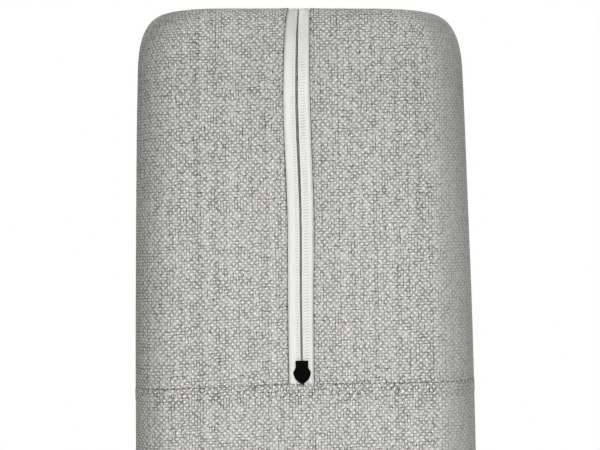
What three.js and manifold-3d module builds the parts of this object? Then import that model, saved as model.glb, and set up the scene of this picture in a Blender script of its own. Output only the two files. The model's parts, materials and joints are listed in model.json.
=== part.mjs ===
// A tall smart speaker: a tapered rounded-square column in a woven cover that zips up at the rear.
// Millimetres, +Z up. The front faces -Y and the zip is at the rear, +Y.
// The origin is on the ground, under the middle of the foot.
import * as THREE from 'three';
import { mergeVertices } from 'three/addons/utils/BufferGeometryUtils.js';
import Module from 'manifold-3d';

const wasm = await Module();
wasm.setup();

// ------------------------------------------------------------------ Driving dimensions

const GAP = 0.3; // clearance between pieces that seat on one another

// The cabinet is sized round its drivers, and the column round the cabinet
const WOOFER_RADIUS = 43.5; // radii are those of the flanges
const TWEETER_RADIUS = 16.5;
const RADIATOR_RADIUS = 44;
const PANEL_LOW = 14; // window for the connectors, below the cabinet
const PANEL_HIGH = 42;
const PANEL_FLANGE = 3.3; // overlap behind the frame
const PANEL_CLEARANCE = 0.7; // flange to the cabinet's floor
const RADIATOR_MARGIN = 12; // flange to the cabinet's side
const WOOFER_MARGIN = 10.5; // flange to the underside of the cabinet's floor
const DRIVER_SPACING = 8; // between the woofer's flange and the tweeters'
const TWEETER_MARGIN = 7.5; // flange to the lid's top
const RADIATOR_RISE = 16; // above the woofer's middle
const SIDE_ROOM = 15.25; // cabinet to the skin, at the ground
const TOP_ROOM = 39; // lid to the cover's flat top
const CABINET_HALF = RADIATOR_RADIUS + RADIATOR_MARGIN;
const CABINET_FLOOR_Z = PANEL_HIGH + PANEL_FLANGE + PANEL_CLEARANCE;
const WOOFER_Z = CABINET_FLOOR_Z + WOOFER_RADIUS + WOOFER_MARGIN;
const TWEETER_Z = WOOFER_Z + WOOFER_RADIUS + DRIVER_SPACING + TWEETER_RADIUS;
const RADIATOR_Z = WOOFER_Z + RADIATOR_RISE;
const CABINET_TOP_Z = TWEETER_Z + TWEETER_RADIUS + TWEETER_MARGIN;

// Column
const HEIGHT = CABINET_TOP_Z + TOP_ROOM; // ground to the cover's flat top
const BASE_HALF = CABINET_HALF + SIDE_ROOM; // half the width, at the ground
const TAPER = 0.0185; // inward lean of every side, per mm of height
const EDGE_RADIUS = 18; // vertical edges
const RIM_EDGE_RADIUS = 24.5; // vertical edges where the shoulder meets the top
const SHOULDER_HEIGHT = 24;
const SHOULDER_INSET = 12.5;
const SHOULDER_POWER = 2.4; // 2 is an ellipse, more is squarer

// Cover
const FABRIC = 1.2;
const SEAM_Z = 77.3; // horizontal seam between the sleeve and the lower band

// Zip
const ZIP_X = 1.1; // from the middle of the rear
const ZIP_WIDTH = 10.6; // opening in the cover
const ZIP_SPLIT = 1.0; // between the two tapes
const TAPE_RECESS = 0.3; // tape below the cover's skin
const TAPE = 0.6;
const COIL = 0.8; // coil on the back of each tape, beside the split
const COIL_WIDTH = 1.4;
const SLIDER_LENGTH = 9.1;
const SLIDER_WIDTH = 7.2;
const SLIDER_NECK = 5.0;
const SLIDER_PLATE = 1.1;
const SLIDER_WEB = 0.4;
const SLIDER_BACK = 0.6; // plate behind the coils
const SLIDER_BACK_WIDTH = 5;
const CROWN_WIDTH = 1.8;
const CROWN_LENGTH = 2;
const PULL = 0.9;
const PULL_WIDTH = 5.2;
const PULL_REACH = 3.9; // from the hinge to the tip
const PULL_GRIP = 2.5;
const PULL_GROOVES = 4;

// Frame that stretches the cover
const FRAME = 2.4;
const SLOT_WIDTH = 12;
const SLOT_HEIGHT = 40;
const SLOT_PITCH_X = 18;
const SLOT_PITCH_Z = 46;
const SLOT_COLUMNS = 5;
const SLOT_ROWS = 3;

// Foot and base
const FOOT = 3;
const FOOT_INSET = 11.25;
const FOOT_HALF = BASE_HALF - FOOT_INSET;
const TRAY_FLOOR = 3;
const TRAY_INSET = 2; // visible edge of the tray, behind the cover's skin
const TRAY_EDGE_Z = 10; // ledge that carries the frame and the cover's hem
const TRAY_UPSTAND = 5;
const TRAY_WALL = 2.2;
const BOARD_BOSS = 4.4;
const BOARD_BOSS_RADIUS = 3;

// Screws
const SCREW_RADIUS = 1.4;
const SCREW_HEAD_RADIUS = 2.9;
const SCREW_HEAD = 1.4;
const SCREW_GRIP = 11; // thread inside a post
const POST_RADIUS = 4.5;
const POST_INSET = 10;
const POST_REACH = CABINET_HALF - POST_INSET; // post centres from the middle, both ways

// Connectors
const PANEL_HALF = 28; // half the window in the cover and the frame
const PANEL = 2;
const PANEL_RECESS = 6.5; // skin to the panel's face
const PANEL_COLLAR = 1.6;
const INLET = { x: -12, width: 20, height: 12.4, depth: 14, hollow: 12, wall: 2 };
const PIN_RADIUS = 1.15;
const PIN_REACH = 8;
const PIN_SPACING = 8.6;
const AV_SOCKET = { x: 13, width: 17, height: 7.4, depth: 12, hollow: 10.5, wall: 1.2 };

// Cabinet
const CABINET_WALL = 3.5;
const CABINET_EDGE = 16;
const CABINET_PLATE = 4;
const GASKET = 1;
const LID_POST_INSET = 9;
const LID_POST_REACH = CABINET_HALF - LID_POST_INSET;
const LID_POST_DEPTH = 20;

// Woofer, radii and depths from the baffle's face
const SEAT = 5.5; // flange beyond its hole in the cabinet
const WOOFER_HOLE = WOOFER_RADIUS - SEAT;
const CONE_INSET = 8;
const BASKET_WALL = 1.9;
const BASKET_DEPTH = 30;
const BASKET_BACK = 21;
const FLANGE = 2.5;
const CONE_RADIUS = WOOFER_HOLE - CONE_INSET;
const CONE_DEPTH = 15;
const CONE_EDGE = 1;
const COIL_RADIUS = 9;
const COIL_WALL = 0.6;
const COIL_REACH = 37;
const MOTOR_GAP = 0.6; // voice coil to the pole and to the top plate
const MAGNET_RADIUS = 27;
const MAGNET_BORE = 14;
const MAGNET = 12;
const TOP_PLATE = 4;
const TOP_PLATE_RADIUS = 22;
const YOKE = 5;
const SPIDER_Z = -24.5;
const SURROUND = 0.9;
const SURROUND_RISE = 3.4;

// Tweeters
const TWEETER_SPREAD = 5.5; // flange to the middle plane
const TWEETER_X = TWEETER_RADIUS + TWEETER_SPREAD;
const TWEETER_CAN = 13;
const TWEETER_DEPTH = 18;
const TWEETER_FLANGE = 2;
const DOME_RADIUS = 10;
const DOME_RISE = 2.6;
const DOME_TRAVEL = 0.3;

// Passive radiators, one on each side
const RADIATOR_HOLE = RADIATOR_RADIUS - SEAT;
const RADIATOR_ROLL = 10.5;
const RADIATOR_PLATE = RADIATOR_HOLE - RADIATOR_ROLL;
const RADIATOR_MASS = 2.5;
const RADIATOR_SPIGOT = 6;

// Circuit boards
const BOARD = 1.6;
const BOARD_MARGIN = 8; // to the middle of the posts
const BOARD_HALF_X = POST_REACH - BOARD_MARGIN;
const BOARD_SPLIT = 6;
const AMP_INSET = 16;
const PSU_Y = [-CABINET_HALF, -BOARD_SPLIT];
const AMP_Y = [0, CABINET_HALF - AMP_INSET];
const BOSS_MARGIN = 4; // board edge to a boss's middle
const TRANSFORMER = { x: -18, y: -30, width: 26, depth: 24, height: 21 };
const CAPACITOR = { x: 18, y: -34, radius: 8, height: 26 };
const HEAT_SINK = { x: 18, y: 20, width: 30, depth: 24, base: 3, height: 20, fin: 1.5, fins: 6 };
const MAIN_BOARD_MARGIN = 7; // to the middle of the posts
const MAIN_BOARD_HALF_X = LID_POST_REACH - MAIN_BOARD_MARGIN;
const MAIN_BOARD_HALF_Y = MAIN_BOARD_HALF_X - BOARD_MARGIN;
const LID_BOSS = 6.7;
const SHIELD = { x: -12, y: -6, width: 34, depth: 30, height: 3.2 };

// Control top
const DECK_INSET = 25.05; // behind the skin at the ground
const DECK_FLANGE = 2.8;
const DECK_RADIUS = BASE_HALF - DECK_INSET;
const DECK_WELL = DECK_RADIUS - DECK_FLANGE;
const DECK_WALL = 2.4;
const DECK_FLOOR = 2.5;
const DECK_DEPTH = 15;
const DECK_LIP = 1.4;
const RING_OUTER = DECK_WELL - DECK_WALL - 2 * GAP;
const RING_WIDTH = 7.2;
const RING_INNER = RING_OUTER - RING_WIDTH;
const RING_PROUD = 1.5; // above the cover's flat top
const RING_BEVEL = 0.8;
const CONTROL_BOARD_RADIUS = RING_INNER - 2 * GAP;
const LIGHT_GAP = 0.8;
const LIGHT_WIDTH = 2.2;
const LIGHT_OUTER = RING_INNER - LIGHT_GAP;
const LIGHT_INNER = LIGHT_OUTER - LIGHT_WIDTH;
const LIGHT_PROUD = 0.4;
const PLATE_RADIUS = LIGHT_INNER - 2 * GAP;
const PLATE = 2.4;
const CARRIER_WALL = 3;
const BUTTON_X = 13;
const BUTTON_RADIUS = 5.7;
const BUTTON_FLANGE = 7;
const BUTTON_PROUD = 0.5;
const BUTTON_TRAVEL = 0.7;
const BUTTON_RIM = 1.1;
const SWITCH = 6;
const MIC_RADIUS = 0.7;
const MIC_INSET = 4.6;
const MIC_REACH = PLATE_RADIUS - MIC_INSET;
const MIC_COUNT = 6;

// Leads inside
const MAINS_LEAD = 2.2; // radius
const SPEAKER_LEAD = 1.6;
const RIBBON_WIDTH = 12;
const RIBBON = 0.8;
const RIBBON_Y = 22;
const RIBBON_STEP = 2; // straight at either end
const RIBBON_BOW = 4;
const RIBBON_BOW_Z = 7; // above the main board

// Facets
const CORNER_STEPS = 4;
const SHOULDER_STEPS = 6;
const ROLL_STEPS = 3;
const FINE = 36;
const MEDIUM = 24;
const SMALL = 10;
const LEAD_SIDES = 8;

// ------------------------------------------------------------------ Derived places

const SHOULDER_Z = HEIGHT - SHOULDER_HEIGHT;
const FRAME_DEPTH = FABRIC + GAP; // skin to the frame's outer face
const FRAME_BACK = FRAME_DEPTH + FRAME;
const COIL_DEPTH = TAPE_RECESS + TAPE;
const BACK_DEPTH = COIL_DEPTH + COIL + GAP;
const CHANNEL_DEPTH = BACK_DEPTH + SLIDER_BACK + GAP;
const TRAY_Z = FOOT + GAP;
const TRAY_TOP = TRAY_Z + TRAY_FLOOR;
const TRAY_WALL_DEPTH = FRAME_BACK + GAP;
const LOWER_EDGE_Z = TRAY_EDGE_Z + GAP;
const BOARD_Z = TRAY_TOP + BOARD_BOSS + GAP;
const BOARD_TOP = BOARD_Z + BOARD;
const PANEL_Z = (PANEL_LOW + PANEL_HIGH) / 2;
const TUBE_LOW = CABINET_FLOOR_Z + CABINET_PLATE + GASKET + 2 * GAP;
const LID_Z = CABINET_TOP_Z - CABINET_PLATE;
const TUBE_HIGH = LID_Z - GASKET - 2 * GAP;
const MAIN_BOARD_Z = CABINET_TOP_Z + LID_BOSS + GAP;
const DECK_FLANGE_Z = HEIGHT - FRAME_DEPTH + GAP;
const DECK_TOP = DECK_FLANGE_Z + DECK_LIP;
const DECK_Z = HEIGHT - DECK_DEPTH;
const DECK_FLOOR_TOP = DECK_Z + DECK_FLOOR;
const CONTROL_BOARD_Z = DECK_FLOOR_TOP + GAP;
const CARRIER_Z = CONTROL_BOARD_Z + BOARD + GAP;
const PLATE_Z = HEIGHT - PLATE;
const BUTTON_LOW = PLATE_Z - GAP - BUTTON_RIM;
const SWITCH_TOP = BUTTON_LOW - BUTTON_TRAVEL - GAP;
const SLIDER_Z = SEAM_Z + 2 * GAP;
const PULL_Z = SLIDER_LENGTH - PULL_REACH;

// ------------------------------------------------------------------ Solids

// The corner that each point of a rounded square belongs to, and its way out, anticlockwise.
const OUTLINE = [];
for (let corner = 0; corner < 4; corner++) {
  const middle = (corner - 0.5) * Math.PI / 2;
  for (let step = 0; step <= CORNER_STEPS; step++) {
    const angle = (corner - 1 + step / CORNER_STEPS) * Math.PI / 2;
    OUTLINE.push({
      x: Math.sign(Math.cos(middle)),
      y: Math.sign(Math.sin(middle)),
      outX: Math.cos(angle),
      outY: Math.sin(angle),
    });
  }
}

const halfAt = (z) => BASE_HALF - TAPER * z;

// A point of the column's side, `depth` below the skin.
const sidePoint = (depth, z) => ({ half: halfAt(z) - depth, round: EDGE_RADIUS - depth, z });

// A point of the shoulder, `depth` below the skin; `turn` is 0 at its foot and 1 at the flat top.
function shoulderPoint(depth, turn) {
  const angle = turn * Math.PI / 2;
  const rise = Math.sin(angle) ** (2 / SHOULDER_POWER);
  const lean = 1 - Math.max(0, Math.cos(angle)) ** (2 / SHOULDER_POWER);
  const z = SHOULDER_Z + (SHOULDER_HEIGHT - depth) * rise;
  return {
    half: halfAt(z) - depth - (SHOULDER_INSET - depth) * lean,
    round: EDGE_RADIUS + (RIM_EDGE_RADIUS - EDGE_RADIUS) * rise - depth * (1 - lean),
    z,
  };
}

// Sweeps a profile of { half, round, z } round the rounded square. It runs up the outside and
// down the inside, and closes on itself unless it starts and ends on the axis.
function sweepSquare(profile) {
  const points = profile[0].half === 0 ? profile : [...profile, profile[0]];
  const turned = points.map((point) => new THREE.Vector2(point.half, point.z));
  const geometry = new THREE.LatheGeometry(turned, OUTLINE.length);
  const position = geometry.getAttribute('position');
  for (let i = 0; i < position.count; i++) {
    const { half, round, z } = points[i % points.length];
    const side = OUTLINE[Math.floor(i / points.length) % OUTLINE.length];
    const core = half - round;
    position.setXYZ(i, side.x * core + side.outX * round, side.y * core + side.outY * round, z);
  }
  return geometry;
}

const onAxis = (z) => ({ half: 0, round: 0, z });

function squarePlate(half, round, low, high) {
  return sweepSquare([onAxis(low), { half, round, z: low }, { half, round, z: high }, onAxis(high)]);
}

function squareTube(half, round, wall, low, high) {
  const inner = { half: half - wall, round: round - wall };
  return sweepSquare([
    { half, round, z: low },
    { half, round, z: high },
    { ...inner, z: high },
    { ...inner, z: low },
  ]);
}

// A layer of the column between two depths below the skin, from `low` to a height on the side.
function sideLayer(outer, inner, low, high) {
  return sweepSquare([
    sidePoint(outer, low),
    sidePoint(outer, high),
    sidePoint(inner, high),
    sidePoint(inner, low),
  ]);
}

// A layer that also goes over the shoulder and in along the flat top.
function wrapLayer(outer, inner, low) {
  const up = [];
  const down = [];
  for (let step = 0; step <= SHOULDER_STEPS; step++) {
    up.push(shoulderPoint(outer, step / SHOULDER_STEPS));
    down.unshift(shoulderPoint(inner, step / SHOULDER_STEPS));
  }
  const topHalf = DECK_WELL / 2;
  const topRound = RIM_EDGE_RADIUS / 2;
  return sweepSquare([
    sidePoint(outer, low),
    ...up,
    { half: topHalf, round: topRound, z: HEIGHT - outer },
    { half: topHalf, round: topRound, z: HEIGHT - inner },
    ...down,
    sidePoint(inner, low),
  ]);
}

// Turns a profile of [radius, z] about Z. It runs up the outside and down the inside.
function lathe(profile, segments) {
  const points = profile[0][0] === 0 ? profile : [...profile, profile[0]];
  const turned = points.map(([radius, z]) => new THREE.Vector2(radius, z));
  return new THREE.LatheGeometry(turned, segments).rotateX(Math.PI / 2);
}

function disc(radius, low, high, segments) {
  return lathe([[0, low], [radius, low], [radius, high], [0, high]], segments);
}

function ring(outer, inner, low, high, segments) {
  return lathe([[outer, low], [outer, high], [inner, high], [inner, low]], segments);
}

function box(x0, x1, y0, y1, z0, z1) {
  const geometry = new THREE.BoxGeometry(x1 - x0, y1 - y0, z1 - z0);
  return geometry.translate((x0 + x1) / 2, (y0 + y1) / 2, (z0 + z1) / 2);
}

function blockOn(part, z) {
  const { x, y, width, depth, height } = part;
  return box(x - width / 2, x + width / 2, y - depth / 2, y + depth / 2, z, z + height);
}

// Stands a shape drawn in X and Z up, from `inner` to `outer` along Y.
function standing(shape, inner, outer) {
  const geometry = new THREE.ExtrudeGeometry(shape, {
    depth: outer - inner,
    bevelEnabled: false,
    curveSegments: 6,
  });
  return geometry.rotateX(Math.PI / 2).translate(0, outer, 0);
}

function shapeThrough(points) {
  return new THREE.Shape(points.map(([x, y]) => new THREE.Vector2(x, y)));
}

function tube(points, section, steps) {
  const curve = new THREE.CatmullRomCurve3(points.map((point) => new THREE.Vector3(...point)));
  return new THREE.ExtrudeGeometry(section, { steps, extrudePath: curve, bevelEnabled: false });
}

function roundSection(radius) {
  const points = [];
  for (let side = 0; side < LEAD_SIDES; side++) {
    const angle = side / LEAD_SIDES * Math.PI * 2;
    points.push([radius * Math.cos(angle), radius * Math.sin(angle)]);
  }
  return shapeThrough(points);
}

// ------------------------------------------------------------------ Cutting and joining

function toSolid(geometry) {
  const bare = new THREE.BufferGeometry();
  bare.setAttribute('position', geometry.getAttribute('position'));
  bare.setIndex(geometry.getIndex());
  const merged = mergeVertices(bare, 1e-4);
  const mesh = new wasm.Mesh({
    numProp: 3,
    vertProperties: merged.getAttribute('position').array,
    triVerts: new Uint32Array(merged.getIndex().array),
  });
  return new wasm.Manifold(mesh);
}

function toGeometry(solid) {
  const { vertProperties, triVerts } = solid.getMesh();
  const geometry = new THREE.BufferGeometry();
  geometry.setAttribute('position', new THREE.BufferAttribute(new Float32Array(vertProperties), 3));
  geometry.setIndex(new THREE.BufferAttribute(new Uint32Array(triVerts), 1));
  geometry.computeVertexNormals();
  return geometry;
}

function combine(operation, first, others) {
  const start = toSolid(first);
  return toGeometry(others.reduce((solid, other) => solid[operation](toSolid(other)), start));
}

const cut = (first, ...others) => combine('subtract', first, others);
const join = (first, ...others) => combine('add', first, others);
const common = (first, ...others) => combine('intersect', first, others);

// ------------------------------------------------------------------ Assembly helpers

const speaker = new THREE.Group();

const finish = (color, roughness, metalness = 0) =>
  new THREE.MeshStandardMaterial({ color, roughness, metalness });

const CLOTH = finish(0xb5b4b0, 0.95);
const TAPE_CLOTH = finish(0xeaeae5, 0.9);
const BLACK_METAL = finish(0x18181a, 0.4, 0.6);
const BLACK_PLASTIC = finish(0x1f2022, 0.55);
const DARK_PLASTIC = finish(0x2e3033, 0.6);
const RUBBER = finish(0x222222, 0.9);
const FOAM = finish(0x3a3a3a, 0.95);
const STEEL = finish(0xb8babd, 0.35, 0.9);
const ZINC = finish(0x8f9296, 0.4, 0.8);
const FERRITE = finish(0x35363a, 0.7);
const ALUMINIUM = finish(0xa9acb0, 0.4, 0.85);
const CONE_PAPER = finish(0x26272a, 0.8);
const SPIDER_CLOTH = finish(0xb88a3c, 0.9);
const SILK = finish(0x3c3d42, 0.6);
const BOARD_GREEN = finish(0x1f5a3c, 0.5);
const BOARD_BLACK = finish(0x14261f, 0.5);
const COPPER_WRAP = finish(0xd8b04a, 0.5);
const DIFFUSER = finish(0xf2f2f0, 0.4);
const GLOSS_BLACK = finish(0x101113, 0.2);
const LEAD_GREY = finish(0x4a4c50, 0.7);

function add(name, geometry, material, holder = speaker) {
  const mesh = new THREE.Mesh(geometry, material);
  mesh.name = name;
  holder.add(mesh);
  return mesh;
}

// A holder whose +Z points out of the cabinet's face at `turn` (0 is the front, -Y), origin on it.
function faceHolder(turn, along, z) {
  const holder = new THREE.Group();
  holder.rotation.set(Math.PI / 2, 0, turn, 'ZYX');
  const out = new THREE.Vector3(Math.sin(turn), -Math.cos(turn), 0);
  const side = new THREE.Vector3(Math.cos(turn), Math.sin(turn), 0);
  holder.position.copy(out.multiplyScalar(CABINET_HALF)).addScaledVector(side, along);
  holder.position.z = z;
  speaker.add(holder);
  return holder;
}

const corners = (reach) => [
  [reach, -reach],
  [reach, reach],
  [-reach, reach],
  [-reach, -reach],
];

const moved = (geometry, x, y, z = 0) => geometry.clone().translate(x, y, z);

// ------------------------------------------------------------------ Cover and zip

const PANEL_WINDOW = box(-PANEL_HALF, PANEL_HALF, 0, BASE_HALF * 2, PANEL_LOW, PANEL_HIGH);

function rearBox(x0, x1, low) {
  return box(x0, x1, 0, BASE_HALF * 2, low, HEIGHT * 2);
}

function addCover() {
  const low = SEAM_Z + GAP / 2;
  const opening = disc(DECK_RADIUS + GAP, 0, HEIGHT * 2, FINE);
  const zipSlot = rearBox(ZIP_X - ZIP_WIDTH / 2, ZIP_X + ZIP_WIDTH / 2, 0);
  add('cover_sleeve', cut(wrapLayer(0, FABRIC, low), opening, zipSlot), CLOTH);

  const band = sideLayer(0, FABRIC, LOWER_EDGE_Z, SEAM_Z - GAP / 2);
  add('cover_band', cut(band, PANEL_WINDOW), CLOTH);

  const tape = wrapLayer(TAPE_RECESS, COIL_DEPTH, low);
  const coil = wrapLayer(COIL_DEPTH - TAPE / 2, COIL_DEPTH + COIL, low);
  const tapeEdge = ZIP_WIDTH / 2 - GAP;
  for (const [name, side] of [['left', -1], ['right', 1]]) {
    const reach = (from, to) => [ZIP_X + side * from, ZIP_X + side * to].sort((a, b) => a - b);
    const span = (from, to) => rearBox(...reach(from, to), low);
    const tapeStrip = common(tape, span(ZIP_SPLIT / 2, tapeEdge));
    const coilStrip = common(coil, span(ZIP_SPLIT / 2, ZIP_SPLIT / 2 + COIL_WIDTH));
    add(`zip_tape_${name}`, cut(join(tapeStrip, coilStrip), opening), TAPE_CLOTH);
  }
}

// The slider in its own frame: X across, Z up the zip, Y out of the skin.
function sliderOutline() {
  const wide = SLIDER_WIDTH / 2;
  const neck = SLIDER_NECK / 2;
  const shoulder = SLIDER_LENGTH * 0.45;
  const throat = SLIDER_LENGTH * 0.7;
  const shape = new THREE.Shape();
  shape.moveTo(0, 0);
  shape.quadraticCurveTo(wide * 0.56, shoulder * 0.15, wide, shoulder);
  shape.lineTo(neck, throat);
  shape.lineTo(neck, SLIDER_LENGTH - GAP);
  shape.lineTo(-neck, SLIDER_LENGTH - GAP);
  shape.lineTo(-neck, throat);
  shape.lineTo(-wide, shoulder);
  shape.quadraticCurveTo(-wide * 0.56, shoulder * 0.15, 0, 0);
  return shape;
}

function pullGeometry() {
  const inner = CROWN_WIDTH / 2 + GAP;
  const outer = PULL_WIDTH / 2;
  const shape = shapeThrough([
    [-outer, -GAP],
    [-inner, -GAP],
    [-inner, PULL_REACH - PULL_GRIP],
    [inner, PULL_REACH - PULL_GRIP],
    [inner, -GAP],
    [outer, -GAP],
    [outer, PULL_REACH],
    [-outer, PULL_REACH],
  ]);
  const grooves = [];
  const pitch = PULL_GRIP / (PULL_GROOVES + 1);
  for (let i = 1; i <= PULL_GROOVES; i++) {
    const z = PULL_REACH - pitch * i;
    const half = pitch / 4;
    grooves.push(box(-outer - 1, outer + 1, PULL / 4, PULL, z - half, z + half));
  }
  return cut(standing(shape, -PULL / 2, PULL / 2), ...grooves);
}

function addSlider() {
  const holder = new THREE.Group();
  holder.position.set(ZIP_X, halfAt(SLIDER_Z), SLIDER_Z);
  holder.rotation.x = Math.atan(TAPER);
  speaker.add(holder);

  const underside = GAP - TAPE_RECESS;
  const top = underside + SLIDER_PLATE;
  const crownHigh = top + GAP + PULL + GAP / 2;
  const backLow = -BACK_DEPTH - SLIDER_BACK;
  const half = CROWN_LENGTH / 2;
  const body = join(
    standing(sliderOutline(), underside, top),
    box(-SLIDER_WEB / 2, SLIDER_WEB / 2, backLow, top, SLIDER_LENGTH * 0.2, SLIDER_LENGTH * 0.8),
    box(
      -SLIDER_BACK_WIDTH / 2,
      SLIDER_BACK_WIDTH / 2,
      backLow,
      -BACK_DEPTH,
      SLIDER_LENGTH * 0.1,
      SLIDER_LENGTH * 0.85,
    ),
    box(-CROWN_WIDTH / 2, CROWN_WIDTH / 2, top - GAP, crownHigh, PULL_Z - half, PULL_Z + half),
  );
  add('zip_slider', body, BLACK_METAL, holder);
  const pull = add('zip_pull', pullGeometry(), BLACK_METAL, holder);
  pull.position.set(0, top + GAP + PULL / 2, PULL_Z);
}

// ------------------------------------------------------------------ Frame, foot and base

function frameSlots() {
  const slots = [];
  const middle = (TUBE_LOW + TUBE_HIGH) / 2;
  for (let row = 0; row < SLOT_ROWS; row++) {
    const z = middle + (row - (SLOT_ROWS - 1) / 2) * SLOT_PITCH_Z;
    for (let column = 0; column < SLOT_COLUMNS; column++) {
      const across = (column - (SLOT_COLUMNS - 1) / 2) * SLOT_PITCH_X;
      const [from, to] = [across - SLOT_WIDTH / 2, across + SLOT_WIDTH / 2];
      const [low, high] = [z - SLOT_HEIGHT / 2, z + SLOT_HEIGHT / 2];
      slots.push(box(from, to, -2 * BASE_HALF, 0, low, high));
      slots.push(box(-2 * BASE_HALF, 2 * BASE_HALF, from, to, low, high));
    }
  }
  return slots;
}

function addFrame() {
  const channelHalf = SLIDER_BACK_WIDTH / 2 + 2 * GAP;
  const channel = common(
    wrapLayer(-GAP, CHANNEL_DEPTH, SEAM_Z),
    rearBox(ZIP_X - channelHalf, ZIP_X + channelHalf, 0),
  );
  const shell = wrapLayer(FRAME_DEPTH, FRAME_BACK, LOWER_EDGE_Z);
  const well = disc(DECK_WELL + GAP, 0, HEIGHT * 2, FINE);
  add('grille_frame', cut(shell, channel, well, PANEL_WINDOW, ...frameSlots()), DARK_PLASTIC);
}

function boardBosses(range) {
  const bosses = [];
  for (const x of [BOSS_MARGIN - BOARD_HALF_X, BOARD_HALF_X - BOSS_MARGIN]) {
    for (const y of [range[0] + BOSS_MARGIN, range[1] - BOSS_MARGIN]) {
      const boss = disc(BOARD_BOSS_RADIUS, TRAY_Z + 1, TRAY_TOP + BOARD_BOSS, SMALL);
      bosses.push(moved(boss, x, y));
    }
  }
  return bosses;
}

function addBase() {
  add('rubber_foot', squarePlate(FOOT_HALF, EDGE_RADIUS, 0, FOOT), RUBBER);

  const tray = sweepSquare([
    onAxis(TRAY_Z),
    sidePoint(TRAY_INSET, TRAY_Z),
    sidePoint(TRAY_INSET, TRAY_EDGE_Z),
    sidePoint(TRAY_WALL_DEPTH, TRAY_EDGE_Z),
    sidePoint(TRAY_WALL_DEPTH, TRAY_EDGE_Z + TRAY_UPSTAND),
    sidePoint(TRAY_WALL_DEPTH + TRAY_WALL, TRAY_EDGE_Z + TRAY_UPSTAND),
    sidePoint(TRAY_WALL_DEPTH + TRAY_WALL, TRAY_TOP),
    onAxis(TRAY_TOP),
  ]);
  const sink = SCREW_HEAD + 2 * GAP;
  const screwHole = join(
    disc(SCREW_HEAD_RADIUS + GAP, 0, TRAY_Z + sink, SMALL),
    disc(SCREW_RADIUS + GAP, 0, TRAY_TOP * 2, SMALL),
  );
  const notchHalf = PANEL_HALF + PANEL_FLANGE + GAP;
  const notch = box(-notchHalf, notchHalf, 0, BASE_HALF - TRAY_WALL_DEPTH, TRAY_EDGE_Z, PANEL_HIGH);
  const holes = corners(POST_REACH).map(([x, y]) => moved(screwHole, x, y));
  const bosses = [...boardBosses(PSU_Y), ...boardBosses(AMP_Y)];
  add('base_tray', cut(join(tray, ...bosses), notch, ...holes), BLACK_PLASTIC);

  const headLow = TRAY_Z + GAP;
  const headHigh = headLow + SCREW_HEAD;
  const screw = lathe([
    [0, headLow],
    [SCREW_HEAD_RADIUS, headLow],
    [SCREW_HEAD_RADIUS, headHigh],
    [SCREW_RADIUS, headHigh],
    [SCREW_RADIUS, TRAY_TOP + GAP + SCREW_GRIP],
    [0, TRAY_TOP + GAP + SCREW_GRIP],
  ], SMALL);
  corners(POST_REACH).forEach(([x, y], i) => add(`base_screw_${i + 1}`, moved(screw, x, y), ZINC));
}

// ------------------------------------------------------------------ Connectors

// A box on the rear face between two depths below the skin at the panel's height.
function rearBlock(x0, x1, outer, inner, low, high) {
  const skin = halfAt(PANEL_Z);
  return box(x0, x1, skin - inner, skin - outer, low, high);
}

function socketBlock(socket, outer, inner, shrink) {
  const half = socket.width / 2 - shrink;
  const rise = socket.height / 2 - shrink;
  return rearBlock(socket.x - half, socket.x + half, outer, inner, PANEL_Z - rise, PANEL_Z + rise);
}

function socketGeometry(socket) {
  const back = PANEL_RECESS + socket.depth;
  const body = socketBlock(socket, PANEL_RECESS, back, 0);
  return cut(body, socketBlock(socket, 0, PANEL_RECESS + socket.hollow, socket.wall));
}

function addConnectors() {
  const reach = PANEL_HALF - GAP;
  const inside = reach - PANEL_COLLAR;
  const low = PANEL_LOW + GAP;
  const high = PANEL_HIGH - GAP;
  const collar = common(
    sideLayer(GAP, PANEL_RECESS + PANEL, low, high),
    box(-reach, reach, 0, BASE_HALF * 2, low, high),
  );
  const flangeReach = PANEL_HALF + PANEL_FLANGE;
  const flange = common(
    sideLayer(TRAY_WALL_DEPTH, TRAY_WALL_DEPTH + PANEL, PANEL_LOW - PANEL_FLANGE, PANEL_HIGH + PANEL_FLANGE),
    box(-flangeReach, flangeReach, 0, BASE_HALF * 2, 0, HEIGHT),
  );
  const recess = common(
    sideLayer(-GAP, PANEL_RECESS, low + PANEL_COLLAR, high - PANEL_COLLAR),
    box(-inside, inside, 0, BASE_HALF * 2, 0, HEIGHT),
  );
  const holes = [INLET, AV_SOCKET].map((socket) =>
    socketBlock(socket, 0, PANEL_RECESS + PANEL * 2, -GAP),
  );
  add('connector_panel', cut(join(collar, flange), recess, ...holes), BLACK_PLASTIC);

  const skin = halfAt(PANEL_Z);
  const pinLow = skin - PANEL_RECESS - INLET.hollow;
  const pin = disc(PIN_RADIUS, 0, PIN_REACH + GAP, SMALL).rotateX(-Math.PI / 2);
  const pins = [-1, 1].map((side) =>
    moved(pin, INLET.x + side * PIN_SPACING / 2, pinLow - GAP, PANEL_Z),
  );
  add('power_inlet', join(socketGeometry(INLET), ...pins), BLACK_PLASTIC);
  add('av_socket', socketGeometry(AV_SOCKET), ZINC);
}

// ------------------------------------------------------------------ Cabinet

function driverHole(holder, radius) {
  const tool = disc(radius, -2 * CABINET_WALL, 2 * CABINET_WALL, MEDIUM);
  holder.updateMatrixWorld(true);
  return tool.applyMatrix4(holder.matrixWorld);
}

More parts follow.
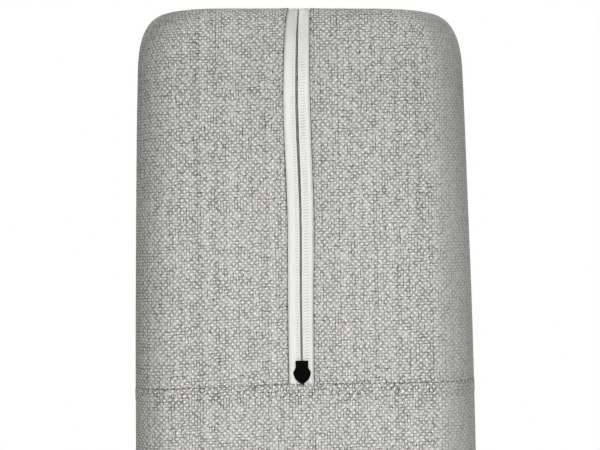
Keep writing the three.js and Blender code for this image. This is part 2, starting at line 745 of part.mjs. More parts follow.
function addCabinet(holders) {
  const bore = SCREW_RADIUS + GAP;
  const post = disc(POST_RADIUS, TRAY_TOP + GAP, CABINET_FLOOR_Z + 1, SMALL);
  const postBore = disc(bore, 0, TRAY_TOP + 2 * GAP + SCREW_GRIP, SMALL);
  const leadHole = disc(SPEAKER_LEAD + GAP, 0, TUBE_LOW, SMALL);
  const floorPlate = squarePlate(
    CABINET_HALF,
    CABINET_EDGE,
    CABINET_FLOOR_Z,
    CABINET_FLOOR_Z + CABINET_PLATE,
  );
  const posts = corners(POST_REACH).map(([x, y]) => moved(post, x, y));
  const bores = corners(POST_REACH).map(([x, y]) => moved(postBore, x, y));
  const [leadX, leadY] = SPEAKER_ROUTE[0];
  bores.push(moved(leadHole, leadX, leadY));
  add('cabinet_floor', cut(join(floorPlate, ...posts), ...bores), DARK_PLASTIC);

  const gasket = (low) => squareTube(CABINET_HALF, CABINET_EDGE, CABINET_WALL, low, low + GASKET);
  add('bottom_gasket', gasket(CABINET_FLOOR_Z + CABINET_PLATE + GAP), FOAM);
  add('top_gasket', gasket(TUBE_HIGH + GAP), FOAM);

  const lidPost = disc(POST_RADIUS, TUBE_HIGH - LID_POST_DEPTH, TUBE_HIGH, SMALL);
  const lidBore = disc(bore, TUBE_HIGH - SCREW_GRIP - GAP, HEIGHT, SMALL);
  const lidCorners = corners(LID_POST_REACH);
  const walls = squareTube(CABINET_HALF, CABINET_EDGE, CABINET_WALL, TUBE_LOW, TUBE_HIGH);
  const tubeBody = join(walls, ...lidCorners.map(([x, y]) => moved(lidPost, x, y)));
  const driverHoles = [
    driverHole(holders.woofer, WOOFER_HOLE),
    ...holders.tweeters.map((holder) => driverHole(holder, TWEETER_CAN + GAP)),
    ...holders.radiators.map((holder) => driverHole(holder, RADIATOR_HOLE)),
  ];
  const tubeBores = lidCorners.map(([x, y]) => moved(lidBore, x, y));
  add('cabinet_tube', cut(tubeBody, ...driverHoles, ...tubeBores), DARK_PLASTIC);

  const lidPlate = squarePlate(CABINET_HALF, CABINET_EDGE, LID_Z, CABINET_TOP_Z);
  const boss = disc(BOARD_BOSS_RADIUS, LID_Z + 1, CABINET_TOP_Z + LID_BOSS, SMALL);
  const bosses = [];
  for (const x of [-1, 1]) {
    for (const y of [-1, 1]) {
      const [reachX, reachY] = [MAIN_BOARD_HALF_X - BOSS_MARGIN, MAIN_BOARD_HALF_Y - BOSS_MARGIN];
      bosses.push(moved(boss, x * reachX, y * reachY));
    }
  }
  add('cabinet_lid', cut(join(lidPlate, ...bosses), ...tubeBores), DARK_PLASTIC);

  const headLow = CABINET_TOP_Z + GAP;
  const screw = lathe([
    [0, TUBE_HIGH - SCREW_GRIP],
    [SCREW_RADIUS, TUBE_HIGH - SCREW_GRIP],
    [SCREW_RADIUS, headLow],
    [SCREW_HEAD_RADIUS, headLow],
    [SCREW_HEAD_RADIUS, headLow + SCREW_HEAD],
    [0, headLow + SCREW_HEAD],
  ], SMALL);
  lidCorners.forEach(([x, y], i) => add(`lid_screw_${i + 1}`, moved(screw, x, y), ZINC));
}

// ------------------------------------------------------------------ Drivers

// A half-roll rubber surround between a moving edge and a glued lip, `low` above the baffle.
function surroundGeometry(inner, outer, lip, low) {
  const middle = (inner + outer) / 2;
  const half = (outer - inner) / 2;
  const top = [];
  const bottom = [];
  for (let step = 0; step <= ROLL_STEPS; step++) {
    const angle = step / ROLL_STEPS * Math.PI;
    const [across, rise] = [Math.cos(angle), Math.sin(angle)];
    top.push([middle + half * across, low + SURROUND + SURROUND_RISE * rise]);
    bottom.unshift([middle + (half - SURROUND * rise) * across, low + SURROUND_RISE * rise]);
  }
  return lathe([[lip, low], [lip, low + SURROUND], ...top, ...bottom], MEDIUM);
}

function addWoofer(holder) {
  const back = -BASKET_DEPTH;
  const rim = WOOFER_HOLE - 2 * GAP;
  const seat = rim - BASKET_WALL;
  const bore = COIL_RADIUS + MOTOR_GAP;
  const basket = lathe([
    [bore + 1, back],
    [BASKET_BACK, back],
    [rim, -FLANGE],
    [rim, GAP],
    [WOOFER_RADIUS, GAP],
    [WOOFER_RADIUS, GAP + FLANGE],
    [seat, GAP + FLANGE],
    [seat, -FLANGE],
    [BASKET_BACK - BASKET_WALL, back + BASKET_WALL],
    [bore + 1, back + BASKET_WALL],
  ], MEDIUM);
  const windowHalf = BASKET_BACK / 3;
  const windows = [
    box(-WOOFER_HOLE, WOOFER_HOLE, -windowHalf, windowHalf, back * 0.65, back * 0.25),
    box(-windowHalf, windowHalf, -WOOFER_HOLE, WOOFER_HOLE, back * 0.65, back * 0.25),
  ];
  add('woofer_basket', cut(basket, ...windows), ZINC, holder);

  const plateHigh = back - GAP;
  const plateLow = plateHigh - TOP_PLATE;
  const magnetHigh = plateLow - GAP;
  const magnetLow = magnetHigh - MAGNET;
  const yokeHigh = magnetLow - GAP;
  const pole = COIL_RADIUS - COIL_WALL - MOTOR_GAP;
  add('woofer_top_plate', ring(TOP_PLATE_RADIUS, bore, plateLow, plateHigh, MEDIUM), STEEL, holder);
  add('woofer_magnet', ring(MAGNET_RADIUS, MAGNET_BORE, magnetLow, magnetHigh, MEDIUM), FERRITE, holder);
  add('woofer_yoke', lathe([
    [0, yokeHigh - YOKE],
    [MAGNET_RADIUS - 1, yokeHigh - YOKE],
    [MAGNET_RADIUS - 1, yokeHigh],
    [pole, yokeHigh],
    [pole, plateHigh],
    [0, plateHigh],
  ], MEDIUM), STEEL, holder);

  const neck = -CONE_EDGE - CONE_DEPTH;
  const capRadius = COIL_RADIUS + 3;
  const capZ = neck + CONE_DEPTH * (capRadius - COIL_RADIUS) / (CONE_RADIUS - COIL_RADIUS);
  add('woofer_cone', lathe([
    [0, neck + 3],
    [COIL_RADIUS - COIL_WALL, neck],
    [COIL_RADIUS - COIL_WALL, -COIL_REACH],
    [COIL_RADIUS, -COIL_REACH],
    [COIL_RADIUS, neck - CONE_EDGE],
    [CONE_RADIUS, -2 * CONE_EDGE],
    [CONE_RADIUS, -CONE_EDGE],
    [capRadius, capZ],
    [capRadius * 0.6, capZ + 2.6],
    [0, capZ + 3.6],
  ], MEDIUM), CONE_PAPER, holder);

  const lip = WOOFER_RADIUS - FLANGE;
  const surround = surroundGeometry(CONE_RADIUS + GAP, seat + 2, lip, 2 * GAP + FLANGE);
  add('woofer_surround', surround, RUBBER, holder);

  const slope = (rim - BASKET_BACK) / (BASKET_DEPTH - FLANGE);
  const spiderOuter = BASKET_BACK - BASKET_WALL - GAP + slope * (SPIDER_Z + BASKET_DEPTH - BASKET_WALL);
  const spiderInner = COIL_RADIUS + GAP;
  const waves = 4;
  const top = [];
  const bottom = [];
  for (let i = 0; i <= waves; i++) {
    const radius = spiderInner + (spiderOuter - spiderInner) * i / waves;
    const z = SPIDER_Z + (i % 2 ? 0.5 : -0.5);
    bottom.push([radius, z]);
    top.unshift([radius, z + COIL_WALL]);
  }
  add('woofer_spider', lathe([...bottom, ...top], MEDIUM), SPIDER_CLOTH, holder);
}

function addTweeter(name, holder) {
  const top = GAP + TWEETER_FLANGE;
  const well = DOME_RADIUS + 2 * GAP;
  const domeLow = -DOME_TRAVEL * 2;
  const seat = domeLow - DOME_TRAVEL - GAP;
  add(`tweeter_${name}_body`, lathe([
    [0, -TWEETER_DEPTH],
    [TWEETER_CAN, -TWEETER_DEPTH],
    [TWEETER_CAN, GAP],
    [TWEETER_RADIUS, GAP],
    [TWEETER_RADIUS, top],
    [well, top],
    [well, seat],
    [0, seat],
  ], MEDIUM), BLACK_PLASTIC, holder);
  add(`tweeter_${name}_dome`, lathe([
    [0, domeLow],
    [DOME_RADIUS, domeLow],
    [DOME_RADIUS, domeLow + 1],
    [DOME_RADIUS * 0.7, domeLow + DOME_RISE * 0.7],
    [0, domeLow + DOME_RISE],
  ], MEDIUM), SILK, holder);
}

function addRadiator(name, holder) {
  const spigot = RADIATOR_HOLE - GAP;
  const inner = spigot - BASKET_WALL;
  add(`radiator_${name}_frame`, lathe([
    [spigot, -RADIATOR_SPIGOT],
    [spigot, GAP],
    [RADIATOR_RADIUS, GAP],
    [RADIATOR_RADIUS, GAP + FLANGE],
    [inner, GAP + FLANGE],
    [inner, -RADIATOR_SPIGOT],
  ], MEDIUM), BLACK_PLASTIC, holder);
  const lip = RADIATOR_RADIUS - FLANGE;
  const surround = surroundGeometry(RADIATOR_PLATE + GAP, inner + 2, lip, 2 * GAP + FLANGE);
  add(`radiator_${name}_surround`, surround, RUBBER, holder);
  const plate = disc(RADIATOR_PLATE, GAP, GAP + RADIATOR_MASS, MEDIUM);
  add(`radiator_${name}_plate`, plate, ALUMINIUM, holder);
}

// ------------------------------------------------------------------ Electronics

const SPEAKER_ROUTE = [
  [-20, 8, BOARD_TOP + GAP],
  [-20, 8, 34],
  [-20, 8, CABINET_FLOOR_Z + CABINET_PLATE],
  [-20, 7.5, 57],
  [-16, -6, 64],
  [-5, -30, 62],
  [0, -40, 69.6],
];

const INLET_BACK = halfAt(PANEL_Z) - PANEL_RECESS - INLET.depth;

const MAINS_ROUTE = [
  [INLET.x, INLET_BACK - GAP, PANEL_Z],
  [INLET.x, INLET_BACK - 5, PANEL_Z],
  [-20, 36, 24],
  [-28, 20, 19],
  [-28, -2, 19],
  [-28, -12, 18.5],
  [-28, -15, BOARD_TOP + 3],
  [-28, -15, BOARD_TOP + GAP],
];

const RIBBON_START = MAIN_BOARD_Z + BOARD + GAP;

const RIBBON_ROUTE = [
  [0, RIBBON_Y, RIBBON_START],
  [0, RIBBON_Y, RIBBON_START + RIBBON_STEP],
  [0, RIBBON_Y + RIBBON_BOW, RIBBON_START + RIBBON_BOW_Z],
  [0, RIBBON_Y, DECK_Z - RIBBON_STEP],
  [0, RIBBON_Y, CONTROL_BOARD_Z - GAP],
];

function heatSinkGeometry() {
  const { x, y, width, depth, base, height, fin, fins } = HEAT_SINK;
  const low = BOARD_TOP + GAP;
  const [x0, x1] = [x - width / 2, x + width / 2];
  const [y0, y1] = [y - depth / 2, y + depth / 2];
  const blades = [];
  for (let i = 0; i < fins; i++) {
    const from = x0 + (width - fin) * i / (fins - 1);
    blades.push(box(from, from + fin, y0, y1, low + base / 2, low + height));
  }
  return join(box(x0, x1, y0, y1, low, low + base), ...blades);
}

function addElectronics() {
  const board = (range) => box(-BOARD_HALF_X, BOARD_HALF_X, ...range, BOARD_Z, BOARD_TOP);
  const seat = BOARD_TOP + GAP;
  add('psu_board', board(PSU_Y), BOARD_GREEN);
  add('transformer', blockOn(TRANSFORMER, seat), COPPER_WRAP);
  const can = disc(CAPACITOR.radius, seat, seat + CAPACITOR.height, SMALL * 2);
  add('capacitor', moved(can, CAPACITOR.x, CAPACITOR.y), BLACK_PLASTIC);
  add('amplifier_board', board(AMP_Y), BOARD_BLACK);
  add('heat_sink', heatSinkGeometry(), ALUMINIUM);

  const boardTop = MAIN_BOARD_Z + BOARD;
  const mainBoard = box(
    -MAIN_BOARD_HALF_X,
    MAIN_BOARD_HALF_X,
    -MAIN_BOARD_HALF_Y,
    MAIN_BOARD_HALF_Y,
    MAIN_BOARD_Z,
    boardTop,
  );
  add('main_board', mainBoard, BOARD_BLACK);
  add('shield_can', blockOn(SHIELD, boardTop + GAP), STEEL);

  const half = RIBBON / 2;
  const ribbon = shapeThrough([
    [-RIBBON_WIDTH / 2, -half],
    [RIBBON_WIDTH / 2, -half],
    [RIBBON_WIDTH / 2, half],
    [-RIBBON_WIDTH / 2, half],
  ]);
  add('ribbon_cable', tube(RIBBON_ROUTE, ribbon, 10), LEAD_GREY);
  add('speaker_lead', tube(SPEAKER_ROUTE, roundSection(SPEAKER_LEAD), 16), LEAD_GREY);
  add('mains_lead', tube(MAINS_ROUTE, roundSection(MAINS_LEAD), 16), LEAD_GREY);
}

// ------------------------------------------------------------------ Control top

function addControls() {
  const deck = lathe([
    [0, DECK_Z],
    [DECK_WELL, DECK_Z],
    [DECK_WELL, DECK_FLANGE_Z],
    [DECK_RADIUS, DECK_FLANGE_Z],
    [DECK_RADIUS, DECK_TOP],
    [DECK_WELL - DECK_WALL, DECK_TOP],
    [DECK_WELL - DECK_WALL, DECK_FLOOR_TOP],
    [0, DECK_FLOOR_TOP],
  ], FINE);
  const slotHalf = RIBBON_WIDTH / 2 + 1;
  const slot = box(-slotHalf, slotHalf, RIBBON_Y - 2, RIBBON_Y + 2, DECK_Z - 1, DECK_FLOOR_TOP + 1);
  add('top_deck', cut(deck, slot), BLACK_PLASTIC);

  const switchHalf = SWITCH / 2;
  const buttonPlaces = [-BUTTON_X, BUTTON_X];
  const switches = buttonPlaces.map((x) =>
    box(x - switchHalf, x + switchHalf, -switchHalf, switchHalf, CONTROL_BOARD_Z + 1, SWITCH_TOP),
  );
  const controlBoard = disc(CONTROL_BOARD_RADIUS, CONTROL_BOARD_Z, CONTROL_BOARD_Z + BOARD, FINE);
  add('control_board', join(controlBoard, ...switches), BOARD_BLACK);

  const carrier = ring(PLATE_RADIUS, PLATE_RADIUS - CARRIER_WALL, CARRIER_Z, PLATE_Z - GAP, FINE);
  add('button_carrier', carrier, DARK_PLASTIC);
  add('light_ring', ring(LIGHT_OUTER, LIGHT_INNER, CARRIER_Z, HEIGHT + LIGHT_PROUD, FINE), DIFFUSER);

  const ringTop = HEIGHT + RING_PROUD;
  add('volume_ring', lathe([
    [RING_OUTER, CONTROL_BOARD_Z],
    [RING_OUTER, ringTop - RING_BEVEL],
    [RING_OUTER - RING_BEVEL, ringTop],
    [RING_INNER + RING_BEVEL, ringTop],
    [RING_INNER, ringTop - RING_BEVEL],
    [RING_INNER, CONTROL_BOARD_Z],
  ], FINE), ALUMINIUM);

  const plateHoles = buttonPlaces.map((x) => moved(disc(BUTTON_RADIUS + GAP, 0, HEIGHT * 2, MEDIUM), x, 0));
  for (let i = 0; i < MIC_COUNT; i++) {
    const angle = (i + 0.5) / MIC_COUNT * Math.PI * 2;
    const hole = disc(MIC_RADIUS, 0, HEIGHT * 2, 6);
    plateHoles.push(moved(hole, MIC_REACH * Math.cos(angle), MIC_REACH * Math.sin(angle)));
  }
  add('touch_plate', cut(disc(PLATE_RADIUS, PLATE_Z, HEIGHT, FINE), ...plateHoles), GLOSS_BLACK);

  const button = lathe([
    [0, BUTTON_LOW],
    [BUTTON_FLANGE, BUTTON_LOW],
    [BUTTON_FLANGE, BUTTON_LOW + BUTTON_RIM],
    [BUTTON_RADIUS, BUTTON_LOW + BUTTON_RIM],
    [BUTTON_RADIUS, HEIGHT + BUTTON_PROUD],
    [0, HEIGHT + BUTTON_PROUD],
  ], MEDIUM);
  add('mute_button', moved(button, -BUTTON_X, 0), DARK_PLASTIC);
  add('action_button', moved(button, BUTTON_X, 0), DARK_PLASTIC);
}

// ------------------------------------------------------------------ Assembly

const holders = {
  woofer: faceHolder(0, 0, WOOFER_Z),
  tweeters: [faceHolder(0, -TWEETER_X, TWEETER_Z), faceHolder(0, TWEETER_X, TWEETER_Z)],
  radiators: [faceHolder(-Math.PI / 2, 0, RADIATOR_Z), faceHolder(Math.PI / 2, 0, RADIATOR_Z)],
};

addCover();
addSlider();
addFrame();
addBase();
addConnectors();
addCabinet(holders);
addWoofer(holders.woofer);
addTweeter('left', holders.tweeters[0]);
addTweeter('right', holders.tweeters[1]);
addRadiator('left', holders.radiators[0]);
addRadiator('right', holders.radiators[1]);
addElectronics();
addControls();

export default speaker;
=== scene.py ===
import json
from math import atan, atan2, copysign, cos, exp, hypot, inf, pi, radians, sin, sqrt, tanh

import bmesh
import bpy
import numpy as np
from mathutils import Matrix, Vector


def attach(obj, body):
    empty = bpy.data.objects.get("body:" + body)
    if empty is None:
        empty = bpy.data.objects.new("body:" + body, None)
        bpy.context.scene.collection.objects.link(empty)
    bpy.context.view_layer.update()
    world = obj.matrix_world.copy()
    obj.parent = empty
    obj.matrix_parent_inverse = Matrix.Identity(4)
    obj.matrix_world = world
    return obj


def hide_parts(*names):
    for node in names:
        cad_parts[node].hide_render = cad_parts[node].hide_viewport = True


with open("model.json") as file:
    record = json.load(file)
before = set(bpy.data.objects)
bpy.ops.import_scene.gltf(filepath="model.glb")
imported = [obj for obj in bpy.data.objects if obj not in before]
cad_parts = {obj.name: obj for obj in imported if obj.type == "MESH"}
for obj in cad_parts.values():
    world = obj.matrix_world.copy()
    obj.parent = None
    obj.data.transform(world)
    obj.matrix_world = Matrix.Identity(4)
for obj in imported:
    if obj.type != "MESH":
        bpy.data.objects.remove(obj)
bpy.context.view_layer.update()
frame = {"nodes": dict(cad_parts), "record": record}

MM = 0.001
NODES = frame["nodes"]

# ---------- Column, in millimetres

HEIGHT = 231.0
BASE_HALF = 71.25  # half the width at the ground
TAPER = 0.0185  # what that half loses with each millimetre up
EDGE_RADIUS = 18.0
RIM_EDGE_RADIUS = 24.5
FLAT_HALF = 51.1  # half of a face's flat stretch, as woven
SHOULDER_HEIGHT = 24.0
SHOULDER_INSET = 12.5
SHOULDER_POWER = 2.4
SHOULDER_Z = HEIGHT - SHOULDER_HEIGHT
OPENING_RADIUS = 46.5
SEAM_Z = 77.6
HEM_Z = 10.3
PANEL_HALF, PANEL_LOW, PANEL_HIGH = 28.0, 14.0, 42.0  # the window for the connectors
CLOTH = 0.55
WARP_PITCH, WEFT_PITCH = 1.156, 1.188
MIDDLE_STEP = 2 * FLAT_HALF + pi / 2 * EDGE_RADIUS  # from one face's middle to the next
GIRTH = 4 * MIDDLE_STEP
TILT = 0.0161  # the top leans, higher towards +X: its slope, where it starts, and its run-in
TILT_Z, TILT_RUN = 162.5, 58.7
ZIP_X = 1.1
UNEVEN = 0.10  # how far the cloth strays from its even shape
EDGE_RIDGE, EDGE_RIDGE_RUN = 0.32, 3.0  # the cloth stands up beside the zip
HEM_STITCH = 2.7  # pitch of the stitches along the hem

# ---------- Camera

CAMERA_PLACE = (0.00102, 0.6564, 0.1417)
CAMERA_LENS = 87.4
CAMERA_ROLL = radians(-0.867)


def add_object(name, data):
    made = bpy.data.objects.new(name, data)
    bpy.context.scene.collection.objects.link(made)
    return made


def make_camera():
    data = bpy.data.cameras.new("camera")
    data.sensor_width = 36
    data.lens = CAMERA_LENS
    data.clip_start = 0.01
    data.clip_end = 20
    camera = add_object("camera", data)
    upright = Matrix.Rotation(pi, 4, "Z") @ Matrix.Rotation(pi / 2, 4, "X")
    place = Matrix.Translation(CAMERA_PLACE)
    camera.matrix_world = place @ upright @ Matrix.Rotation(CAMERA_ROLL, 4, "Z")
    bpy.context.scene.camera = camera


make_camera()

# ---------- Shaders


def tint(colour, factor):
    return tuple(min(1.0, channel * factor) for channel in colour)


def put(tree, socket, value):
    """Links or sets an input; None leaves it as it is."""
    if isinstance(value, bpy.types.NodeSocket):
        tree.links.new(value, socket)
    elif isinstance(value, tuple) and len(value) == 3 and socket.type == "RGBA":
        socket.default_value = (*value, 1)
    elif value is not None:
        socket.default_value = value


def add_node(tree, kind, *values, **settings):
    """A node with its settings made and its first inputs filled."""
    node = tree.nodes.new("ShaderNode" + kind)
    for name, value in settings.items():
        setattr(node, name, value)
    for socket, value in zip(node.inputs, values):
        put(tree, socket, value)
    return node


class Shader:
    """Builds one procedural material; sockets and plain values can be mixed freely."""

    def __init__(self, name):
        self.material = bpy.data.materials.new(name)
        self.material.use_nodes = True
        self.tree = self.material.node_tree
        self.tree.nodes.clear()
        self.surface = self.add("BsdfPrincipled")
        self.output = self.add("OutputMaterial", self.surface.outputs[0])

    def add(self, kind, *values, **settings):
        return add_node(self.tree, kind, *values, **settings)

    def set(self, **values):
        for name, value in values.items():
            put(self.tree, self.surface.inputs[name.replace("_", " ")], value)
        return self.material

    def math(self, operation, *values):
        return self.add("Math", *values, operation=operation).outputs[0]

    def plus(self, value, *others):
        for other in others:
            value = self.math("ADD", value, other)
        return value

    def times(self, value, *factors):
        for factor in factors:
            value = self.math("MULTIPLY", value, factor)
        return value

    def power(self, value, exponent):
        return self.math("POWER", value, exponent)

    def scaled(self, value, factor, shift):
        return self.math("MULTIPLY_ADD", value, factor, shift)

    def around(self, noise, middle, width):
        """Noise from 0 to 1 as a spread of the given width round a middle."""
        return self.scaled(noise, width, middle - width / 2)

    def varied(self, value, noise, amount):
        """A value raised and lowered by noise that lies round a half."""
        return self.math("MULTIPLY_ADD", self.plus(noise, -0.5), amount, value)

    def wave(self, value, factor):
        return self.math("SINE", self.times(value, factor))

    def reach(self, x, y):
        return self.math("SQRT", self.plus(self.times(x, x), self.times(y, y)))

    def spread(self, value, low, high, to_low=0.0, to_high=1.0):
        """A smooth step from one value to another."""
        values = (value, low, high, to_low, to_high)
        return self.add("MapRange", *values, interpolation_type="SMOOTHSTEP").outputs[0]

    def vector(self, operation, a, b=None, scale=None):
        node = self.add("VectorMath", a, b, None, scale, operation=operation)
        return node.outputs["Value" if operation == "LENGTH" else "Vector"]

    def multiple(self, vector, factor):
        return self.vector("SCALE", vector, scale=factor)

    def combine(self, x, y, z=0.0):
        return self.add("CombineXYZ", x, y, z).outputs[0]

    def separate(self, value):
        return self.add("SeparateXYZ", value).outputs

    def woven_place(self):
        """The cloth's own measures, as make() stored them on its points."""
        return self.separate(self.add("Attribute", attribute_name="weave").outputs["Vector"])

    def noise(self, place, scale, detail=2.0, roughness=0.5, output="Fac"):
        return self.add("TexNoise", place, None, scale, detail, roughness).outputs[output]

    def wander(self, place, scale, detail):
        """Noise in three directions, round zero."""
        noise = self.noise(place, scale, detail, output="Color")
        return self.vector("SUBTRACT", noise, (0.5, 0.5, 0.5))

    def white(self, place):
        return self.add("TexWhiteNoise", place, noise_dimensions="3D").outputs["Value"]

    def cells(self, place, scale):
        return self.add("TexVoronoi", place, None, scale).outputs["Distance"]

    def mix(self, factor, a, b):
        """A colour between two; a Mix node's colours are its seventh and eighth inputs."""
        unused = [None] * 5
        return self.add("Mix", factor, *unused, a, b, data_type="RGBA").outputs[2]

    def tinted(self, factor, colour, low, high):
        return self.mix(factor, tint(colour, low), tint(colour, high))

    def ramp(self, value, *stops):
        node = self.add("ValToRGB", value)
        elements = node.color_ramp.elements
        while len(elements) < len(stops):
            elements.new(0.5)
        for element, (position, colour) in zip(elements, stops):
            element.position = position
            element.color = (*colour, 1)
        return node.outputs[0]

    def bump(self, height, distance, strength):
        """A bump whose depth is in millimetres."""
        return self.add("Bump", strength, distance * MM, None, height).outputs[0]


def on_object(name):
    """A new shader with the object's own coordinates."""
    s = Shader(name)
    return s, s.add("TexCoord").outputs["Object"]


def woven(name, colour):
    """The cover's plain weave. The attribute holds millimetres across and up, and the strain,
    which is below zero on a folded cut edge, where a dotted line of painted shade goes."""
    s = Shader(name)
    across, up, strain = s.woven_place()
    pull = s.math("MAXIMUM", strain, 0.0)
    place = s.combine(across, up)

    # The yarns wander, more where the cloth is pulled. From here a and b count yarns.
    drift = s.multiple(s.wander(place, 0.11, 2), 1.2)
    wobble = s.multiple(s.wander(place, 0.5, 1), s.scaled(pull, 0.7, 0.9))
    dx, dy, _ = s.separate(s.vector("ADD", drift, wobble))
    a = s.times(s.plus(across, dx), 1 / WARP_PITCH)
    b = s.times(s.plus(up, dy), 1 / WEFT_PITCH)
    warp, weft = s.math("ROUND", a), s.math("ROUND", b)
    column, row = s.math("FLOOR", a), s.math("FLOOR", b)
    wave_a = s.math("COSINE", s.times(a, pi))
    wave_b = s.math("COSINE", s.times(b, pi))
    near_a, near_b = s.math("ABSOLUTE", wave_a), s.math("ABSOLUTE", wave_b)
    over = s.math("GREATER_THAN", s.times(wave_a, wave_b), 0.0)

    # A painted highlight on the crown where the warp is on top, and painted shade in the pit where
    # it dives.
    crossing = s.combine(warp, weft)
    first = s.white(crossing)
    second = s.white(s.vector("ADD", crossing, (37.0, 11.0, 5.0)))
    stretch = s.math("FLOOR", s.times(s.plus(b, s.times(column, 3.7)), 0.11))
    run = s.white(s.combine(warp, stretch, 8.0))
    crown = s.times(
        s.power(near_a, 0.8), s.power(near_b, 2.1), s.scaled(over, 0.46, 0.06),
        s.plus(s.scaled(first, 0.66, 0.36), s.scaled(run, 0.55, 0.06)), s.scaled(pull, 0.15, 1.0),
    )
    painted_pit_shade = s.times(
        s.power(near_a, 5.0), s.power(near_b, 0.8), s.scaled(over, -1.0, 1.0),
        s.scaled(second, 1.12, 0.12),
    )

    # Painted shade in the grooves between the yarns; weft and warp ones take turns over the cloth.
    row_shift = s.times(s.white(s.combine(row, 3.0, 1.0)), 2.0)
    column_shift = s.times(s.white(s.combine(column, 7.0, 2.0)), 2.0)
    row_part = s.math("FLOOR", s.times(s.plus(a, row_shift), 0.8))
    column_part = s.math("FLOOR", s.times(s.plus(b, column_shift), 0.8))
    weft_tone = s.white(s.combine(row_part, row, 9.0))
    warp_tone = s.white(s.combine(column, column_part, 4.0))
    turns = s.spread(s.noise(place, 0.16, 1), 0.36, 0.64, -0.22, 0.22)
    painted_weft_groove_shade = s.times(
        s.power(s.scaled(near_b, -1.0, 1.0), 1.15), s.scaled(weft_tone, 0.88, 0.02),
        s.plus(turns, 1.0),
    )
    painted_warp_groove_shade = s.times(
        s.power(s.scaled(near_a, -1.0, 1.0), 2.2), s.scaled(warp_tone, 1.38, 0.05),
        s.scaled(turns, -1.0, 1.0),
    )

    # How dark the cloth is so far from its painted highlights and shade, and the tone that single
    # yarns and fibres add to it.
    dark = s.plus(painted_weft_groove_shade, painted_warp_groove_shade, s.plus(s.math("SUBTRACT", painted_pit_shade, crown), 1.0))
    streak = s.white(s.combine(column, 5.0, 6.0))
    slub = s.noise(s.combine(s.times(a, 0.9), s.times(b, 0.045)), 1.0, 2, 0.6)
    broad = s.noise(place, 0.035, 3, 0.6)
    mottle = s.noise(place, 1.0, 1)
    fibre = s.noise(place, 3.2, 2, 0.6)
    sources = ((streak, 0.20), (slub, 0.22), (broad, 0.10), (mottle, 0.12), (fibre, 2.6))
    for source, amount in sources:
        dark = s.varied(dark, source, amount)

    # The weave shows less round the corners, least on the half of the girth towards -X.
    from_middle = s.math("PINGPONG", across, MIDDLE_STEP / 2)
    round_girth = s.math("FLOORED_MODULO", across, GIRTH)
    far_side = s.math("GREATER_THAN", round_girth, GIRTH / 2)
    corner = s.spread(from_middle, 49.0, 60.0)
    softening = s.times(corner, s.scaled(far_side, -0.46, -0.20))
    tone = s.scaled(dark, -1.0, 2.5)
    relief = s.times(s.plus(tone, -1.0), s.plus(softening, 1.16), s.scaled(pull, 0.30, 1.0))
    relief = s.plus(relief, 1.0)

    # The cloth's level: darker where pulled, with painted shade round the corners, in dots along
    # the folded cut edges and towards the top.
    painted_corner_shade = s.times(s.spread(from_middle, 55.0, 63.0), s.scaled(far_side, 0.05, -0.11))
    # Painted shade on the folded cut edges, in dots a weft pitch apart.
    ends = s.scaled(s.math("COSINE", s.times(b, 2 * pi)), 0.28, 0.72)
    fold = s.times(s.math("MAXIMUM", s.times(strain, -1.0), 0.0), ends)
    level = s.times(
        s.math("MAXIMUM", relief, 0.05), 0.860, s.scaled(pull, -0.10, 1.0), s.plus(painted_corner_shade, 1.0),
        # The last factor is painted shade towards the top.
        s.scaled(fold, -0.85, 1.0), s.spread(up, 50.0, 150.0, 1.0, 0.88),
    )
    return s.set(
        Base_Color=s.multiple(colour, level), Roughness=0.92, Specular_IOR_Level=0.04,
        Sheen_Weight=0.02, Sheen_Roughness=0.5, Normal=s.bump(relief, 0.10, 0.6),
    )


def taped(name, colour):
    """Fine woven tape with ribs along its length, with painted shade where it goes over the
    shoulder.
    """
    s = Shader(name)
    across, up, _ = s.woven_place()
    rib_pitch, pick_pitch = 0.55, 0.42
    rib = s.wave(across, 2 * pi / rib_pitch)
    pick = s.wave(up, 2 * pi / pick_pitch)
    streak = s.noise(s.combine(s.times(across, 1.6), s.times(up, 0.05)), 1.0, 2, 0.6)
    patch = s.noise(s.combine(across, up), 0.35, 3, 0.6)
    tone = s.math("MULTIPLY_ADD", pick, 0.03, s.scaled(rib, 0.05, 0.5))
    tone = s.varied(s.varied(tone, streak, 0.5), patch, 0.3)
    albedo = s.ramp(tone, (0.0, tint(colour, 0.78)), (0.5, colour), (1.0, tint(colour, 1.08)))
    # Painted shade over the shoulder, and more of it on the tape towards +X.
    albedo = s.multiple(albedo, s.spread(up, 118.0, 148.0, 1.0, 0.84))
    towards_plus = s.math("GREATER_THAN", across, 0.0)
    painted_plus_side_shade = s.times(towards_plus, s.spread(up, 137.0, 149.0, 0.0, 0.14))
    height = s.plus(s.scaled(rib, 0.3, 0.5), s.times(pick, 0.15))
    return s.set(
        Base_Color=s.multiple(albedo, s.scaled(painted_plus_side_shade, -1.0, 1.0)), Roughness=0.85,
        Specular_IOR_Level=0.2, Normal=s.bump(height, 0.06, 0.6),
    )


def thread(name, colour):
    s, place = on_object(name)
    twist = s.wave(s.vector("LENGTH", place), 2 * pi / (0.35 * MM))
    albedo = s.tinted(s.noise(place, 900), colour, 0.75, 1.25)
    return s.set(Base_Color=albedo, Roughness=0.75, Normal=s.bump(twist, 0.03, 0.4))


def moulded(name, colour, roughness, grain=0.03):
    """Moulded plastic with a fine spark-eroded grain."""
    s, place = on_object(name)
    return s.set(
        Base_Color=s.tinted(s.noise(place, 60, 3, 0.6), colour, 0.85, 1.18),
        Roughness=s.around(s.noise(place, 240), roughness, 0.16),
        Normal=s.bump(s.cells(place, 2600), grain, 0.5),
    )


